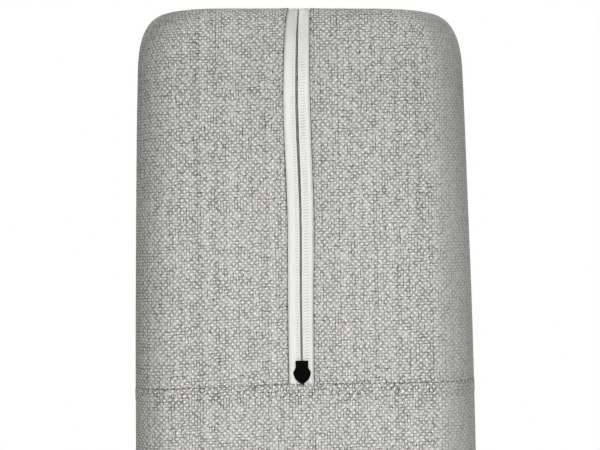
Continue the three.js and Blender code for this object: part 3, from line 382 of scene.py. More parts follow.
def metallic(name, colour, roughness, brushed=None):
    """Bare metal. `brushed` is the stretch of the grain along X, Y and Z, or None for cast."""
    s, place = on_object(name)
    if brushed:
        place = s.vector("MULTIPLY", place, brushed)
    fine = s.noise(place, 900, 3, 0.7)
    return s.set(
        Base_Color=s.tinted(s.noise(place, 90), colour, 0.88, 1.08), Metallic=1.0,
        Roughness=s.around(fine, roughness, 0.22), Normal=s.bump(fine, 0.01, 0.5),
    )


def turned(name, colour):
    """Aluminium with concentric turning marks round Z."""
    s, place = on_object(name)
    x, y, z = s.separate(place)
    fineness = 9000
    marks = s.combine(s.times(s.reach(x, y), fineness), s.times(z, fineness))
    marks = s.noise(marks, 1.0, 3, 0.7)
    return s.set(
        Base_Color=s.tinted(s.noise(place, 70), colour, 0.93, 1.05), Metallic=1.0,
        Roughness=s.around(marks, 0.3, 0.2), Anisotropic=0.5, Normal=s.bump(marks, 0.01, 0.5),
    )


def enamelled(name, colour):
    """Black enamel on die-cast metal, thinner on the tips of its grain."""
    s, place = on_object(name)
    wear = s.spread(s.noise(place, 700, 4, 0.7), 0.66, 0.8)
    return s.set(
        Base_Color=s.mix(wear, colour, tint(colour, 2.2)),
        Roughness=s.around(s.noise(place, 500), 0.4, 0.2), Specular_IOR_Level=0.012,
        Normal=s.bump(s.noise(place, 1500), 0.02, 0.5),
    )


def rubbery(name, colour, grain=0.05, size=900):
    """Anything dull and dark: rubber, foam, ferrite, lead covers."""
    s, place = on_object(name)
    fine = s.noise(place, size, 4, 0.65)
    return s.set(
        Base_Color=s.tinted(s.noise(place, 45, 3, 0.6), colour, 0.8, 1.3),
        Roughness=s.around(fine, 0.82, 0.2), Specular_IOR_Level=0.25,
        Normal=s.bump(fine, grain, 0.6),
    )


def board(name, colour, trace):
    """Solder mask over copper tracks, with tinned pads."""
    s, place = on_object(name)
    tin = (0.55, 0.54, 0.5)
    x, y, _ = s.separate(place)
    lane = s.wave(s.plus(x, s.times(s.noise(place, 90, 0), 0.01)), 2100)
    cross = s.wave(s.plus(y, s.times(s.noise(place, 70, 0), 0.012)), 1700)
    zone = s.spread(s.noise(place, 60, 0), 0.49, 0.51)
    lines = s.plus(s.times(lane, zone), s.times(cross, s.scaled(zone, -1, 1)))
    track = s.spread(lines, 0.3, 0.5)
    pads = s.spread(s.cells(place, 330), 0.16, 0.13)
    return s.set(
        Base_Color=s.mix(pads, s.mix(track, colour, trace), tin),
        Roughness=s.scaled(pads, -0.1, 0.42), Metallic=s.times(pads, 0.9),
        Normal=s.bump(s.plus(track, pads), 0.03, 0.5),
    )


def netted(name, colour, pitch=0.9):
    """Coarse woven technical cloth in flat object coordinates."""
    s, place = on_object(name)
    x, y, z = s.separate(place)
    turns = pi / (pitch * MM)
    waves = s.times(s.wave(s.plus(x, y), turns), s.wave(s.plus(z, s.times(y, 0.3)), turns))
    weave = s.scaled(waves, 0.5, 0.5)
    patch = s.times(s.noise(place, 120, 3), 0.35)
    albedo = s.mix(patch, s.tinted(weave, colour, 0.6, 1.2), tint(colour, 0.7))
    return s.set(Base_Color=albedo, Roughness=0.8, Normal=s.bump(weave, 0.1, 0.6))


def opal(name, colour):
    """Milky plastic that light goes through."""
    s, place = on_object(name)
    cloud = s.noise(place, 150, 3)
    return s.set(
        Base_Color=s.tinted(cloud, colour, 0.95, 1.03), Roughness=s.around(cloud, 0.36, 0.12),
        Subsurface_Weight=0.5, Subsurface_Radius=(0.004, 0.004, 0.004), Subsurface_Scale=0.5,
    )


def glossy(name, colour):
    """Polished black with faint rub marks."""
    s, place = on_object(name)
    rub = s.noise(s.vector("MULTIPLY", place, (1.0, 6.0, 1.0)), 130, 4, 0.7)
    return s.set(
        Base_Color=s.mix(s.noise(place, 40), colour, tint(colour, 1.6)),
        Roughness=s.spread(rub, 0.4, 0.8, 0.1, 0.3), Normal=s.bump(rub, 0.004, 0.4),
    )


RECIPES = {
    "cover_cloth": (woven, (0.462, 0.456, 0.434)),
    "zip_tape": (taped, (0.835, 0.835, 0.80)),
    "black_metal": (enamelled, (0.0014, 0.0014, 0.0014)),
    "black_plastic": (moulded, (0.016, 0.016, 0.017), 0.5),
    "dark_plastic": (moulded, (0.03, 0.032, 0.035), 0.55),
    "rubber": (rubbery, (0.018, 0.018, 0.018)),
    "foam": (rubbery, (0.045, 0.045, 0.045), 0.15, 1800),
    "steel": (metallic, (0.56, 0.56, 0.57), 0.32, (1, 12, 1)),
    "zinc": (metallic, (0.46, 0.47, 0.48), 0.4),
    "ferrite": (rubbery, (0.035, 0.035, 0.038), 0.04, 1500),
    "aluminium": (turned, (0.50, 0.51, 0.52)),
    "cone_paper": (netted, (0.022, 0.022, 0.024), 0.7),
    "spider_cloth": (netted, (0.36, 0.22, 0.06)),
    "silk": (netted, (0.04, 0.04, 0.045), 0.5),
    "board_green": (board, (0.012, 0.10, 0.045), (0.02, 0.17, 0.075)),
    "board_black": (board, (0.006, 0.012, 0.010), (0.012, 0.03, 0.024)),
    "copper_wrap": (moulded, (0.55, 0.33, 0.05), 0.4, 0.02),
    "diffuser": (opal, (0.86, 0.86, 0.84)),
    "gloss_black": (glossy, (0.006, 0.006, 0.007)),
    "lead_grey": (rubbery, (0.06, 0.062, 0.068), 0.03),
}
M = {name: build(name, *values) for name, (build, *values) in RECIPES.items()}
STITCH_DARK = thread("stitch_dark", (0.075, 0.074, 0.070))
STITCH_PALE = thread("stitch_pale", (0.64, 0.64, 0.61))
COIL_NYLON = thread("coil_nylon", (0.28, 0.28, 0.27))

slots = {part["node"]: part["material_slot"] for part in frame["record"]["subparts"]}
for node_name, slot_name in slots.items():
    NODES[node_name].data.materials.clear()
    NODES[node_name].data.materials.append(M[slot_name])
NODES["av_socket"].data.materials[0] = metallic("black_nickel", (0.10, 0.10, 0.105), 0.45)

# ---------- Mesh helpers


def smooth(t):
    t = np.clip(t, 0.0, 1.0)
    return float(t * t * (3 - 2 * t))


def clean_mesh(mesh, weld=False):
    """Turns the faces outward, after welding the points that fall together if asked to."""
    b = bmesh.new()
    b.from_mesh(mesh)
    if weld:
        bmesh.ops.remove_doubles(b, verts=b.verts, dist=1e-7)
    bmesh.ops.recalc_face_normals(b, faces=b.faces)
    b.to_mesh(mesh)
    b.free()


def make(name, verts, faces, body, slot, material=None, weave=None):
    """A mesh object from millimetres, riding on a body, with an optional weave attribute.
    Its material is the slot's own unless another is given."""
    mesh = bpy.data.meshes.new(name)
    mesh.from_pydata([tuple(v) for v in np.asarray(verts, float) * MM], [], faces)
    if weave is not None:
        layer = mesh.attributes.new("weave", "FLOAT_VECTOR", "POINT")
        layer.data.foreach_set("vector", np.asarray(weave, np.float32).ravel())
    mesh.shade_smooth()
    mesh.materials.append(material or M[slot])
    made = add_object(name, mesh)
    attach(made, body)
    return made


def make_cloth(name, verts, faces, slot, weave, thickness):
    """A sheet whose outer skin is given; its thickness goes inward."""
    made = make(name, verts, faces, "root", slot, weave=weave)
    clean_mesh(made.data)
    modifier = made.modifiers.new("cloth", "SOLIDIFY")
    modifier.thickness = thickness * MM
    modifier.offset = -1
    return made


def grid_faces(rows, columns, wrap=False, skip=None):
    faces = []
    for j in range(rows - 1):
        low, high = j * columns, (j + 1) * columns
        for i in range(columns if wrap else columns - 1):
            if skip and skip(j, i):
                continue
            k = (i + 1) % columns
            faces.append((low + i, low + k, high + k, high + i))
    return faces


def turn_profile(name, profile, body, slot, segments, x=0.0, wobble=None):
    """Turns a closed [radius, z] profile about an upright axis; points on the axis are welded."""
    count = len(profile)
    verts, faces = [], []
    for i in range(segments):
        angle = 2 * pi * i / segments
        for radius, z in profile:
            r = radius + (wobble(angle, radius, z) if wobble else 0)
            verts.append((x + r * cos(angle), r * sin(angle), z))
    for i in range(segments):
        k = (i + 1) % segments
        for j in range(count):
            n = (j + 1) % count
            if profile[j][0] or profile[n][0]:
                faces.append((i * count + j, k * count + j, k * count + n, i * count + n))
    made = make(name, verts, faces, body, slot)
    clean_mesh(made.data, weld=True)
    return made


def rounded(points, radius, steps=4):
    """Rounds every corner of a closed profile that is off the axis."""
    done = []
    for i, point in enumerate(points):
        here = np.array(point, float)
        if here[0] == 0:
            done.append(tuple(here))
            continue
        before = np.array(points[i - 1], float) - here
        after = np.array(points[(i + 1) % len(points)], float) - here
        before_length, after_length = np.linalg.norm(before), np.linalg.norm(after)
        reach = min(radius, 0.45 * before_length, 0.45 * after_length)
        start = here + before / before_length * reach
        end = here + after / after_length * reach
        for k in range(steps + 1):
            t = k / steps
            done.append(tuple((1 - t) ** 2 * start + 2 * t * (1 - t) * here + t * t * end))
    return done


def bevel(made, width, segments=2, angle=35):
    modifier = made.modifiers.new("bevel", "BEVEL")
    modifier.width = width * MM
    modifier.segments = segments
    modifier.limit_method = "ANGLE"
    modifier.angle_limit = radians(angle)


def apply_modifiers(made):
    graph = bpy.context.evaluated_depsgraph_get()
    mesh = bpy.data.meshes.new_from_object(made.evaluated_get(graph))
    old = made.data
    made.modifiers.clear()
    made.data = mesh
    bpy.data.meshes.remove(old)


# ---------- The column's surface


def half_at(z):
    """Half the column's width at a height, and how far its faces bulge there."""
    at_ends, growth = 0.25, 0.00205
    swell = at_ends + growth * z - ((2 * z - HEIGHT) / HEIGHT) ** 2
    return BASE_HALF - TAPER * z, max(0.0, swell)


def profile_point(rise):
    """A point of the side and shoulder at a distance up from the ground: half, round, z, swell."""
    if rise <= SHOULDER_Z:
        half, swell = half_at(rise)
        return half, EDGE_RADIUS, rise, swell
    angle = min(1.0, (rise - SHOULDER_Z) / SHOULDER_HEIGHT) * pi / 2
    up = sin(angle) ** (2 / SHOULDER_POWER)
    lean = 1 - max(0.0, cos(angle)) ** (2 / SHOULDER_POWER)
    z = SHOULDER_Z + SHOULDER_HEIGHT * up
    half, swell = half_at(z)
    round_ = EDGE_RADIUS + (RIM_EDGE_RADIUS - EDGE_RADIUS) * up
    return half - SHOULDER_INSET * lean, round_, z, swell * (1 - lean)


def tilt(x, z):
    return TILT * x * min(1.0, max(0.0, (z - TILT_Z) / TILT_RUN))


CORNER_SIGNS = [(1, 1), (1, -1), (-1, -1), (-1, 1)]
# Each face's way out, and its way along in the direction in which the stations go round.
FACES = [((0, 1), (1, 0)), ((1, 0), (0, -1)), ((0, -1), (-1, 0)), ((-1, 0), (0, 1))]


def side_stations(face_steps, corner_steps):
    """Stations of the four corners and the three faces between them: (corner or face, t)."""
    stations = []
    for corner in range(4):
        stations += [(corner, i / corner_steps) for i in range(corner_steps)]
        if corner < 3:
            stations += [(f"face{corner + 1}", i / face_steps) for i in range(face_steps)]
    return stations


def station_list(rear_steps, face_steps, corner_steps):
    """Stations round the column, from the rear's middle out towards +X and back in from -X."""
    stations = [("rear_out", i / rear_steps) for i in range(rear_steps)]
    stations += side_stations(face_steps, corner_steps)
    return stations + [("rear_in", i / rear_steps) for i in range(rear_steps + 1)]


def on_outline(station, half, round_, edge_out=0.0, edge_in=0.0):
    """A station's x, y, way out and woven distance; edge_* are the rear's cut edges."""
    kind, t = station
    core = half - round_
    if kind == "rear_out":
        x = edge_out + (core - edge_out) * t
        return x, half, 0.0, 1.0, x
    if kind == "rear_in":
        x = -core + (edge_in + core) * t
        return x, half, 0.0, 1.0, x + GIRTH
    if isinstance(kind, int):  # a corner
        sx, sy = CORNER_SIGNS[kind]
        angle = pi / 2 * (1 - kind - t)
        ox, oy = cos(angle), sin(angle)
        woven_at = kind * MIDDLE_STEP + core + (MIDDLE_STEP - 2 * core) * t
        return sx * core + ox * round_, sy * core + oy * round_, ox, oy, woven_at
    face = int(kind[4])
    along = -core + 2 * core * t
    (ox, oy), (ax, ay) = FACES[face]
    x, y = ox * half + ax * along, oy * half + ay * along
    return x, y, ox, oy, face * MIDDLE_STEP + along


def smooth_through(points, at):
    """Smooth curve through a few (place, value) pairs."""
    last = len(points) - 1

    def slope(k):
        low, high = points[max(0, k - 1)], points[min(last, k + 1)]
        return (high[1] - low[1]) / (high[0] - low[0])

    i = 0
    while i < last - 1 and at > points[i + 1][0]:
        i += 1
    (x0, y0), (x1, y1) = points[i], points[i + 1]
    step = x1 - x0
    t = min(1.0, max(0.0, (at - x0) / step))
    return (
        (2 * t**3 - 3 * t**2 + 1) * y0
        + (t**3 - 2 * t**2 + t) * step * slope(i)
        + (3 * t**2 - 2 * t**3) * y1
        + (t**3 - t**2) * step * slope(i + 1)
    )


# How the zip wanders on the stretched cover, by height: cut edge at +X, split, cut edge at -X.
ZIP_PATH = [
    (70, 6.30, 1.10, -3.60),
    (110, 6.30, 1.12, -3.90),
    (146, 6.00, 0.80, -4.50),
    (188, 7.00, 1.60, -3.75),
    (205, 6.65, 1.42, -3.70),
    (214, 5.95, 1.02, -3.95),
    (222, 5.00, 0.50, -4.15),
    (227, 4.50, 0.10, -4.40),
    (231, 4.20, -0.30, -4.60),
    (260, 4.20, -0.50, -4.60),
]
PLUS_EDGE, SPLIT, MINUS_EDGE = [[(row[0], row[kind]) for row in ZIP_PATH] for kind in (1, 2, 3)]


def zip_edges(rise):
    return smooth_through(PLUS_EDGE, rise), smooth_through(MINUS_EDGE, rise)


def hash_wave(x, y, seed):
    """Gentle repeatable unevenness between -1 and 1."""
    total = 0.0
    for k, (fx, fy) in enumerate([(0.043, 0.021), (0.027, 0.051), (0.071, 0.037), (0.015, 0.083)]):
        total += sin(x * fx + y * fy * (1 if k % 2 else -1) + seed * (k + 1.7)) / 4
    return total


def weft_skew(from_zip):
    """How far the weft rows have dropped, by the woven distance from the zip, below 0 at -X."""
    drop, run = (3.0, 86) if from_zip > 0 else (1.68, 87)
    return drop * tanh(from_zip / run)


def seam_drop(x, y, half):
    """The seam sits lower towards +X, on the rear and most of the sides."""
    start, drop, run = 4, 1.75, 42
    if x < start or y <= -half * 0.2:
        return 0.0
    return drop * (1 - exp(-(((x - start) / run) ** 1.5)))


def skin_point(station, rise, depth):
    """A point of the upper cover, with its woven distance; `rise` goes on over the shoulder."""
    half, round_, z, swell = profile_point(rise)
    x, y, ox, oy, woven_at = on_outline(station, half, round_, *zip_edges(rise))
    from_zip = min(woven_at, GIRTH - woven_at)
    push = swell * smooth((from_zip - 8) / 25) - depth
    push += UNEVEN * hash_wave(woven_at, rise, 1.0) * smooth((from_zip - 6) / 12)
    lean = 0.0
    if rise > SHOULDER_Z:
        low, high = profile_point(rise - 0.5), profile_point(rise + 0.01)
        run, climb = low[0] - high[0], high[2] - low[2]
        lean = run / hypot(run, climb)
    side = sqrt(max(0.0, 1 - lean * lean))
    x += ox * (push * side)
    y += oy * (push * side)
    z += push * lean * 0.5
    return x, y, z + tilt(x, z), woven_at


def top_point(station, fraction):
    """The flat top between the rim and the round opening; columns run straight in."""
    half, round_, z, _ = profile_point(HEIGHT)
    x, y, ox, _, woven_at = on_outline(station, half, round_, *zip_edges(HEIGHT))
    core = half - round_
    r = OPENING_RADIUS
    if isinstance(station[0], int):
        low = atan2(core, sqrt(r * r - core * core))
        start = pi / 2 * (1 - station[0]) - low
        angle = start - (pi / 2 - 2 * low) * station[1]
        tx, ty = r * cos(angle), r * sin(angle)
    elif abs(ox) > 0.5:
        tx, ty = copysign(sqrt(r * r - y * y), x), y
    else:
        tx, ty = x, copysign(sqrt(r * r - x * x), y)
    px, py = x + (tx - x) * fraction, y + (ty - y) * fraction
    run = hypot(px - x, py - y)
    return px, py, z + TILT * px * (1 - 0.8 * fraction), woven_at, run


def edge_ridge(x, y, rise):
    """The distance from the zip's cut edges, and how far the cloth stands up beside them."""
    if y <= 0:
        return inf, 0.0
    edge = min(abs(x - cut) for cut in zip_edges(rise))
    return edge, EDGE_RIDGE * exp(-((edge / EDGE_RIDGE_RUN) ** 2))


def cover_sleeve():
    """Upper cover: from the seam over the shoulder to the round opening, open at the zip."""
    rises = [SEAM_Z + step for step in (0.02, 0.12, 0.35, 0.7, 1.2)]
    rises += list(np.linspace(SEAM_Z + 3, SHOULDER_Z, 58))
    rises += list(np.linspace(SHOULDER_Z, HEIGHT, 29)[1:])
    grooves = [0.14, 0.08, 0.03]  # the seam draws the lowest rows in
    fractions = [0.15, 0.32, 0.5, 0.68, 0.84, 0.95, 0.985, 1.0, 1.0]
    top_drops = [0, 0, 0, 0, 0, 0, 0.06, 0.3, 0.9]
    edge_steps = [(0.0, 0.62), (0.03, 0.34), (0.28, 0.16), (0.56, 0.0)]  # how the cut edge folds in
    columns = [("rear_out", 0.0, inset, depth) for inset, depth in edge_steps]
    columns += [(*station, 0.0, 0.0) for station in station_list(26, 40, 12)[1:-1]]
    columns += [("rear_in", 1.0, -inset, depth) for inset, depth in edge_steps[::-1]]
    arc = [0.0]
    for low, high in zip(rises, rises[1:]):
        a, b = profile_point(low), profile_point(high)
        arc.append(arc[-1] + hypot(a[0] - b[0], a[2] - b[2]))
    verts, weave = [], []

    def add_weave(woven_at, up, strain):
        from_zip = woven_at if woven_at < GIRTH / 2 else woven_at - GIRTH
        weave.append((woven_at, up + weft_skew(from_zip), strain))

    for row, rise in enumerate(rises):
        half = profile_point(rise)[0]
        groove = grooves[row] if row < len(grooves) else 0.0
        lean = smooth((rise - SHOULDER_Z - 6) / 14)
        seam_pull = 1 - smooth((rise - SEAM_Z) / 3)
        fade = 1 - smooth((rise - SEAM_Z) / 60)
        for kind, t, inset, depth in columns:
            x, y, z, woven_at = skin_point((kind, t), rise, groove)
            edge, ridge = edge_ridge(x, y, rise)
            ridge -= depth
            x += inset
            y += ridge * (1 - 0.7 * lean)
            z += ridge * 0.7 * lean if edge < 10 else 0.0
            z -= seam_drop(x, y, half) * fade
            verts.append((x, y, z))
            # A strain below zero marks the cut edge, where the cloth's shader paints shade.
            add_weave(woven_at, arc[row], -min(1.0, 6 * depth) if depth else 0.6 * seam_pull)
    for fraction, drop in zip(fractions, top_drops):
        for kind, t, inset, depth in columns:
            x, y, z, woven_at, run = top_point((kind, t), fraction)
            ridge = edge_ridge(x, y, HEIGHT)[1] - depth
            verts.append((x + inset, y, z - drop + ridge * 0.7))
            # A strain below zero marks the cut edge, where the cloth's shader paints shade.
            add_weave(woven_at, arc[-1] + run, -min(1.0, 6 * depth))
    faces = grid_faces(len(rises) + len(fractions), len(columns))
    return make_cloth("cover_sleeve_cloth", verts, faces, "cover_cloth", weave, CLOTH)


def band_stations():
    """Stations round the band, from the middle of a front corner towards -X, in two halves."""
    rear = [0, 4, 8, 12, 16, 20, 24]
    rear += [PANEL_HALF + step for step in (-1.8, -0.7, -0.2, 0.0, 0.2, 0.7, 1.8)]
    rear += [29.8 + (53 - 29.8) * k / 10 for k in range(1, 10)]
    loop = [("rear_x", x) for x in rear] + side_stations(36, 12)
    loop += [("rear_x", -x) for x in rear[:0:-1]]
    start = loop.index((2, 0.5))
    return loop[start:], loop[: start + 1]


def hem_strain(below):
    """Pull of the folded, sewn hem on the weave, by distance below the seam."""
    return smooth((below + 1.5) / 1.5) * (1 - smooth((below - 4.2) / 1.6))


def hem_line(x, y):
    """Second row of stitches, below the seam; off the rear it stays as low as at x = 60."""
    x = x if y > 0 else 60.0
    least, minus_slope, plus_slope = 4.4, 0.0135, 0.016
    return least + minus_slope * max(0.0, -x) + plus_slope * max(0.0, x)


def band_fade(rise):
    """Share of the seam's drop that the band takes at a height."""
    return smooth((rise - 52) / 20)


def turn_in(depth, distance, run):
    """How far an edge turns in, from its full depth at the edge to nothing after the run."""
    return depth * (1 - min(1.0, distance / run)) ** 2


def cover_band():
    """Lower cover: a ring from the seam down to the tray, with the window for the connectors."""
    before, after = band_stations()
    stations = [(station, -GIRTH) for station in before] + [(station, 0) for station in after]
    near_window = (-1.6, -0.8, -0.3, 0.0, 0.3, 0.9, 2.2)
    rises = [HEM_Z, HEM_Z + 0.15, HEM_Z + 0.5, HEM_Z + 1.2]
    rises += [PANEL_LOW + step for step in near_window]
    rises += list(np.linspace(18, 38.5, 10))
    rises += [PANEL_HIGH + step for step in near_window]
    rises += list(np.linspace(46.5, SEAM_Z - 6.6, 11))
    rises += list(np.linspace(SEAM_Z - 5.9, SEAM_Z - 1.3, 12))
    rises += [SEAM_Z - step for step in (0.85, 0.5, 0.25, 0.1, 0.02)]
    hem_raise = 0.16
    verts, weave = [], []
    for rise in rises:
        below = SEAM_Z - rise
        half, round_, height, swell = profile_point(rise)
        for station, turn in stations:
            if station[0] == "rear_x":
                x, y, ox, oy, woven_at = station[1], half, 0.0, 1.0, station[1]
            else:
                x, y, ox, oy, woven_at = on_outline(station, half, round_)
                woven_at += turn
            push = swell + UNEVEN * hash_wave(woven_at, rise, 2.0) * smooth(below / 10)
            hem = hem_line(x, y)
            fold = smooth(below / 0.8) * (1 - smooth((below - hem + 0.5) / 0.8))
            dimple = exp(-(((below - hem) / 0.45) ** 2))
            pull = 0.5 + 0.5 * sin(woven_at * 2 * pi / HEM_STITCH)
            push += hem_raise * fold - hem_raise * dimple * (0.4 + 0.6 * pull)
            push -= turn_in(0.15, below, 0.7) + turn_in(0.5, rise - HEM_Z, 1.2)
            if y > 0:
                gap = max(abs(x) - PANEL_HALF, rise - PANEL_HIGH, PANEL_LOW - rise, 0.0)
                push -= turn_in(0.55, gap, 0.9)
            z = height - seam_drop(x, y, half) * band_fade(rise)
            verts.append((x + ox * push, y + oy * push, z))
            weave.append((woven_at, rise + weft_skew(woven_at), hem_strain(below)))

    def in_window(row, column):
        ends = [station for station, _ in stations[column : column + 2]]
        if any(kind != "rear_x" or abs(x) > PANEL_HALF for kind, x in ends):
            return False
        return rises[row] >= PANEL_LOW and rises[row + 1] <= PANEL_HIGH

    faces = grid_faces(len(rises), len(stations), skip=in_window)
    return make_cloth("cover_band_cloth", verts, faces, "cover_cloth", weave, CLOTH)


# ---------- Stitches


def capsules(name, places, material, slot, body="root"):
    """Many small stitches in one mesh: (centre, along, out, length, width, height) each."""
    verts, faces = [], []
    rings, sides, bluntness = 6, 8, 0.6
    for centre, along, out, length, width, height in places:
        centre, along, out = Vector(centre), Vector(along).normalized(), Vector(out).normalized()
        side = along.cross(out)
        base = len(verts)
        verts.append(centre - along * length / 2)
        for i in range(1, rings):
            t = pi * i / rings
            reach = sin(t) ** bluntness
            middle = centre - along * (length / 2) * cos(t)
            for k in range(sides):
                angle = 2 * pi * k / sides
                across = side * (width / 2 * reach * cos(angle))
                verts.append(middle + across + out * (height / 2 * reach * sin(angle)))
        verts.append(centre + along * length / 2)
        for k in range(sides):
            n = (k + 1) % sides
            faces.append((base, base + 1 + n, base + 1 + k))
            for i in range(rings - 2):
                low = base + 1 + i * sides
                faces.append((low + k, low + n, low + sides + n, low + sides + k))
            low = base + 1 + (rings - 2) * sides
            faces.append((low + k, low + n, low + sides))
    made = make(name, verts, faces, body, slot, material)
    clean_mesh(made.data)
    return made


def between(path, at):
    """The two entries of a path that hold a distance, and the share of the way between them.
    Each entry of the path ends with its own distance."""
    after = next(i for i, entry in enumerate(path) if i and entry[-1] >= at)
    low, high = path[after - 1], path[after]
    return low, high, (at - low[-1]) / (high[-1] - low[-1])


def round_path(rise_at, push):
    """Points round the column at a height, each with its way out and distance, for stitches."""
    points = []
    distance = 0.0
    for station in station_list(60, 90, 24):
        half, round_, _, _ = profile_point(SEAM_Z)
        x, y, _, _, _ = on_outline(station, half, round_)
        rise = rise_at(x, y)
        half, round_, z, swell = profile_point(rise)
        x, y, ox, oy, _ = on_outline(station, half, round_)
        z -= seam_drop(x, y, half) * band_fade(rise)
        place = Vector((x + ox * (swell + push), y + oy * (swell + push), z))
        if points:
            distance += (place - points[-1][0]).length
        points.append((place, Vector((ox, oy, 0)), distance))
    return points


def stitch_row(name, rise_at, push, pitch_at, size_at):
    """A row of stitches round the column; size_at gives one's length, width and height."""
    points = round_path(rise_at, push)
    places = []
    margin = 0.7
    at = margin
    while at < points[-1][-1] - margin:
        (start, out, _), (end, out_end, _), t = between(points, at)
        place = start.lerp(end, t)
        shake = hash_wave(len(places) * 37.0, len(places) * 11.0, 3.0)
        along = (end - start).normalized() + Vector((0, 0, 0.25 * shake))
        centre = place + Vector((0, 0, 0.10 * shake))
        places.append((centre, along, out.lerp(out_end, t), *size_at(place, shake)))
        at += pitch_at(place) * (1 + 0.12 * shake)
    capsules(name, places, STITCH_DARK, "cover_cloth")


def seam_stitches():
    def grown(place):
        """Stitches get longer away from the zip."""
        return 1.0 + 0.75 * smooth((abs(place.x) - 6) / 40) if place.y > 0 else 1.75

    stitch_row(
        "seam_stitches", lambda x, y: SEAM_Z, -0.24, lambda place: 1.25 * grown(place),
        lambda place, shake: ((0.72 + 0.2 * shake) * grown(place), 0.5 * grown(place), 0.5),
    )
    stitch_row(
        "hem_stitches", lambda x, y: SEAM_Z - hem_line(x, y), -0.12, lambda place: HEM_STITCH,
        lambda place, shake: (0.75 + 0.4 * shake, 0.50, 0.40),
    )


# ---------- Zip

TAPE_DEPTH = 0.55  # of the tapes' outer skin under the cover's
TAPE = 0.35
SPLIT_HALF = 0.40
FLUSH = 0.5  # how far the tapes come up on the shoulder
COIL_TURN = 1.2
SIDES = {-1: "left", 1: "right"}


def zip_stations():
    """The zip's line up the side, over the shoulder and inward along the top, in entries of
    (rise, y, z, out y, out z, distance)."""
    rises = list(np.linspace(SEAM_Z - 1.6, SHOULDER_Z, 100))
    rises += list(np.linspace(SHOULDER_Z, HEIGHT, 30)[1:])
    places = [(rise, profile_point(rise)[0], profile_point(rise)[2]) for rise in rises]
    rim = places[-1][1]
    inner = sqrt(OPENING_RADIUS**2 - 9) + 0.2
    for t in (k / 8 for k in range(1, 9)):
        places.append((HEIGHT + 0.01 + 20 * t, rim + (inner - rim) * t, HEIGHT))
    done = []
    arc = 0.0
    for i, (rise, y, z) in enumerate(places):
        low, high = places[max(0, i - 1)], places[min(len(places) - 1, i + 1)]
        dy, dz = high[1] - low[1], high[2] - low[2]
        length = hypot(dy, dz)
        if i:
            arc += hypot(y - low[1], z - low[2])
        done.append((rise, y, z, dz / length, -dy / length, arc))
    return done


ZIP_STATIONS = zip_stations()
ZIP_LENGTH = ZIP_STATIONS[-1][-1]


def on_zip(station, x, depth):
    """A point across the zip, `depth` below the skin; near the top the tapes come up flush."""
    rise, y, z, out_y, out_z, _ = station
    depth -= FLUSH * smooth((rise - SHOULDER_Z + 3) / 20)
    return x, y - out_y * depth, z - out_z * depth + tilt(x, z)


def zip_station_at(at):
    """The zip's station at a distance along it, and the x of its split there."""
    low, high, t = between(ZIP_STATIONS, at)
    station = [a + (b - a) * t for a, b in zip(low, high)]
    return station, smooth_through(SPLIT, station[0])


def half_split(rise):
    """Half the gap between the tapes: a little wider under the shoulder, narrow at the top."""
    wider = 0.12 * smooth((rise - 135) / 40)
    return SPLIT_HALF + wider - 0.26 * smooth((rise - 200) / 26)


def zip_tape(side):
    """One tape, from under the cover's edge to the split, where it turns in round its coil."""
    # Section as (share, depth): millimetres under the cover, then shares of the way to the split.
    lip = (0.75, 0.62, 0.20) if side < 0 else (0.5, 0.38, 0.12)
    section = [(5.6, 0.24), (3.0, 0.24), (1.2, 0.24), (0.5, 0.60)]
    section += zip((0.0, -0.06, -0.11), lip)
    section += [(share, 0.0) for share in (-0.15, -0.25, -0.45, -0.62, -0.76)]
    section += [(-0.86, -0.02), (-0.90, -0.11), (-0.94, -0.16), (-0.97, -0.13), (-0.99, 0.0)]
    section += [(-1.0, 0.30), (-1.0, 0.85)]
    verts, weave = [], []
    for station in ZIP_STATIONS:
        rise, arc = station[0], station[-1]
        edge = smooth_through(PLUS_EDGE if side > 0 else MINUS_EDGE, rise)
        split = smooth_through(SPLIT, rise) + side * half_split(rise)
        for share, sunk in section:
            x = edge + (side if share > 0 else edge - split) * share
            depth = TAPE_DEPTH + sunk
            if -0.9 < share < 0:
                depth += 0.03 * sin(arc * 0.4 + share * 5) * sin(arc * 0.13)
            verts.append(on_zip(station, x, depth))
            weave.append((x - split, arc, 0))
    faces = grid_faces(len(ZIP_STATIONS), len(section))
    return make_cloth(f"zip_tape_{SIDES[side]}_cloth", verts, faces, "zip_tape", weave, TAPE)


def zip_coil(side):
    """The spiral of one side, seen through the split."""
    wire, sides, steps_per_turn = 0.24, 6, 10
    middle, half_width, half_depth, sunk = 0.62, 0.85, 0.42, 1.15
    start = 0.5 if side > 0 else 0.0  # the two spirals mesh half a turn apart
    points = []
    at = 0.4
    while at < ZIP_LENGTH - 0.4:
        station, split = zip_station_at(at)
        angle = 2 * pi * (at / COIL_TURN + start)
        x = split + side * middle - side * half_width * cos(angle)
        depth = TAPE_DEPTH + sunk + half_depth * sin(angle)
        points.append(Vector(on_zip(station, x, depth)))
        at += COIL_TURN / steps_per_turn
    verts = []
    for i, point in enumerate(points):
        ahead = points[min(i + 1, len(points) - 1)] - points[max(i - 1, 0)]
        ahead.normalize()
        side_way = ahead.cross(Vector((0.2, 1, 0.1))).normalized()
        up_way = side_way.cross(ahead)
        for k in range(sides):
            angle = 2 * pi * k / sides
            offset = side_way * (wire * cos(angle)) + up_way * (wire * sin(angle))
            verts.append(point + offset)
    faces = grid_faces(len(points), sides, wrap=True)
    faces.append(tuple(range(sides)))
    faces.append(tuple(range(len(verts) - sides, len(verts))))
    made = make(f"zip_coil_{SIDES[side]}", verts, faces, "root", "zip_tape", COIL_NYLON)
    clean_mesh(made.data)
    return made


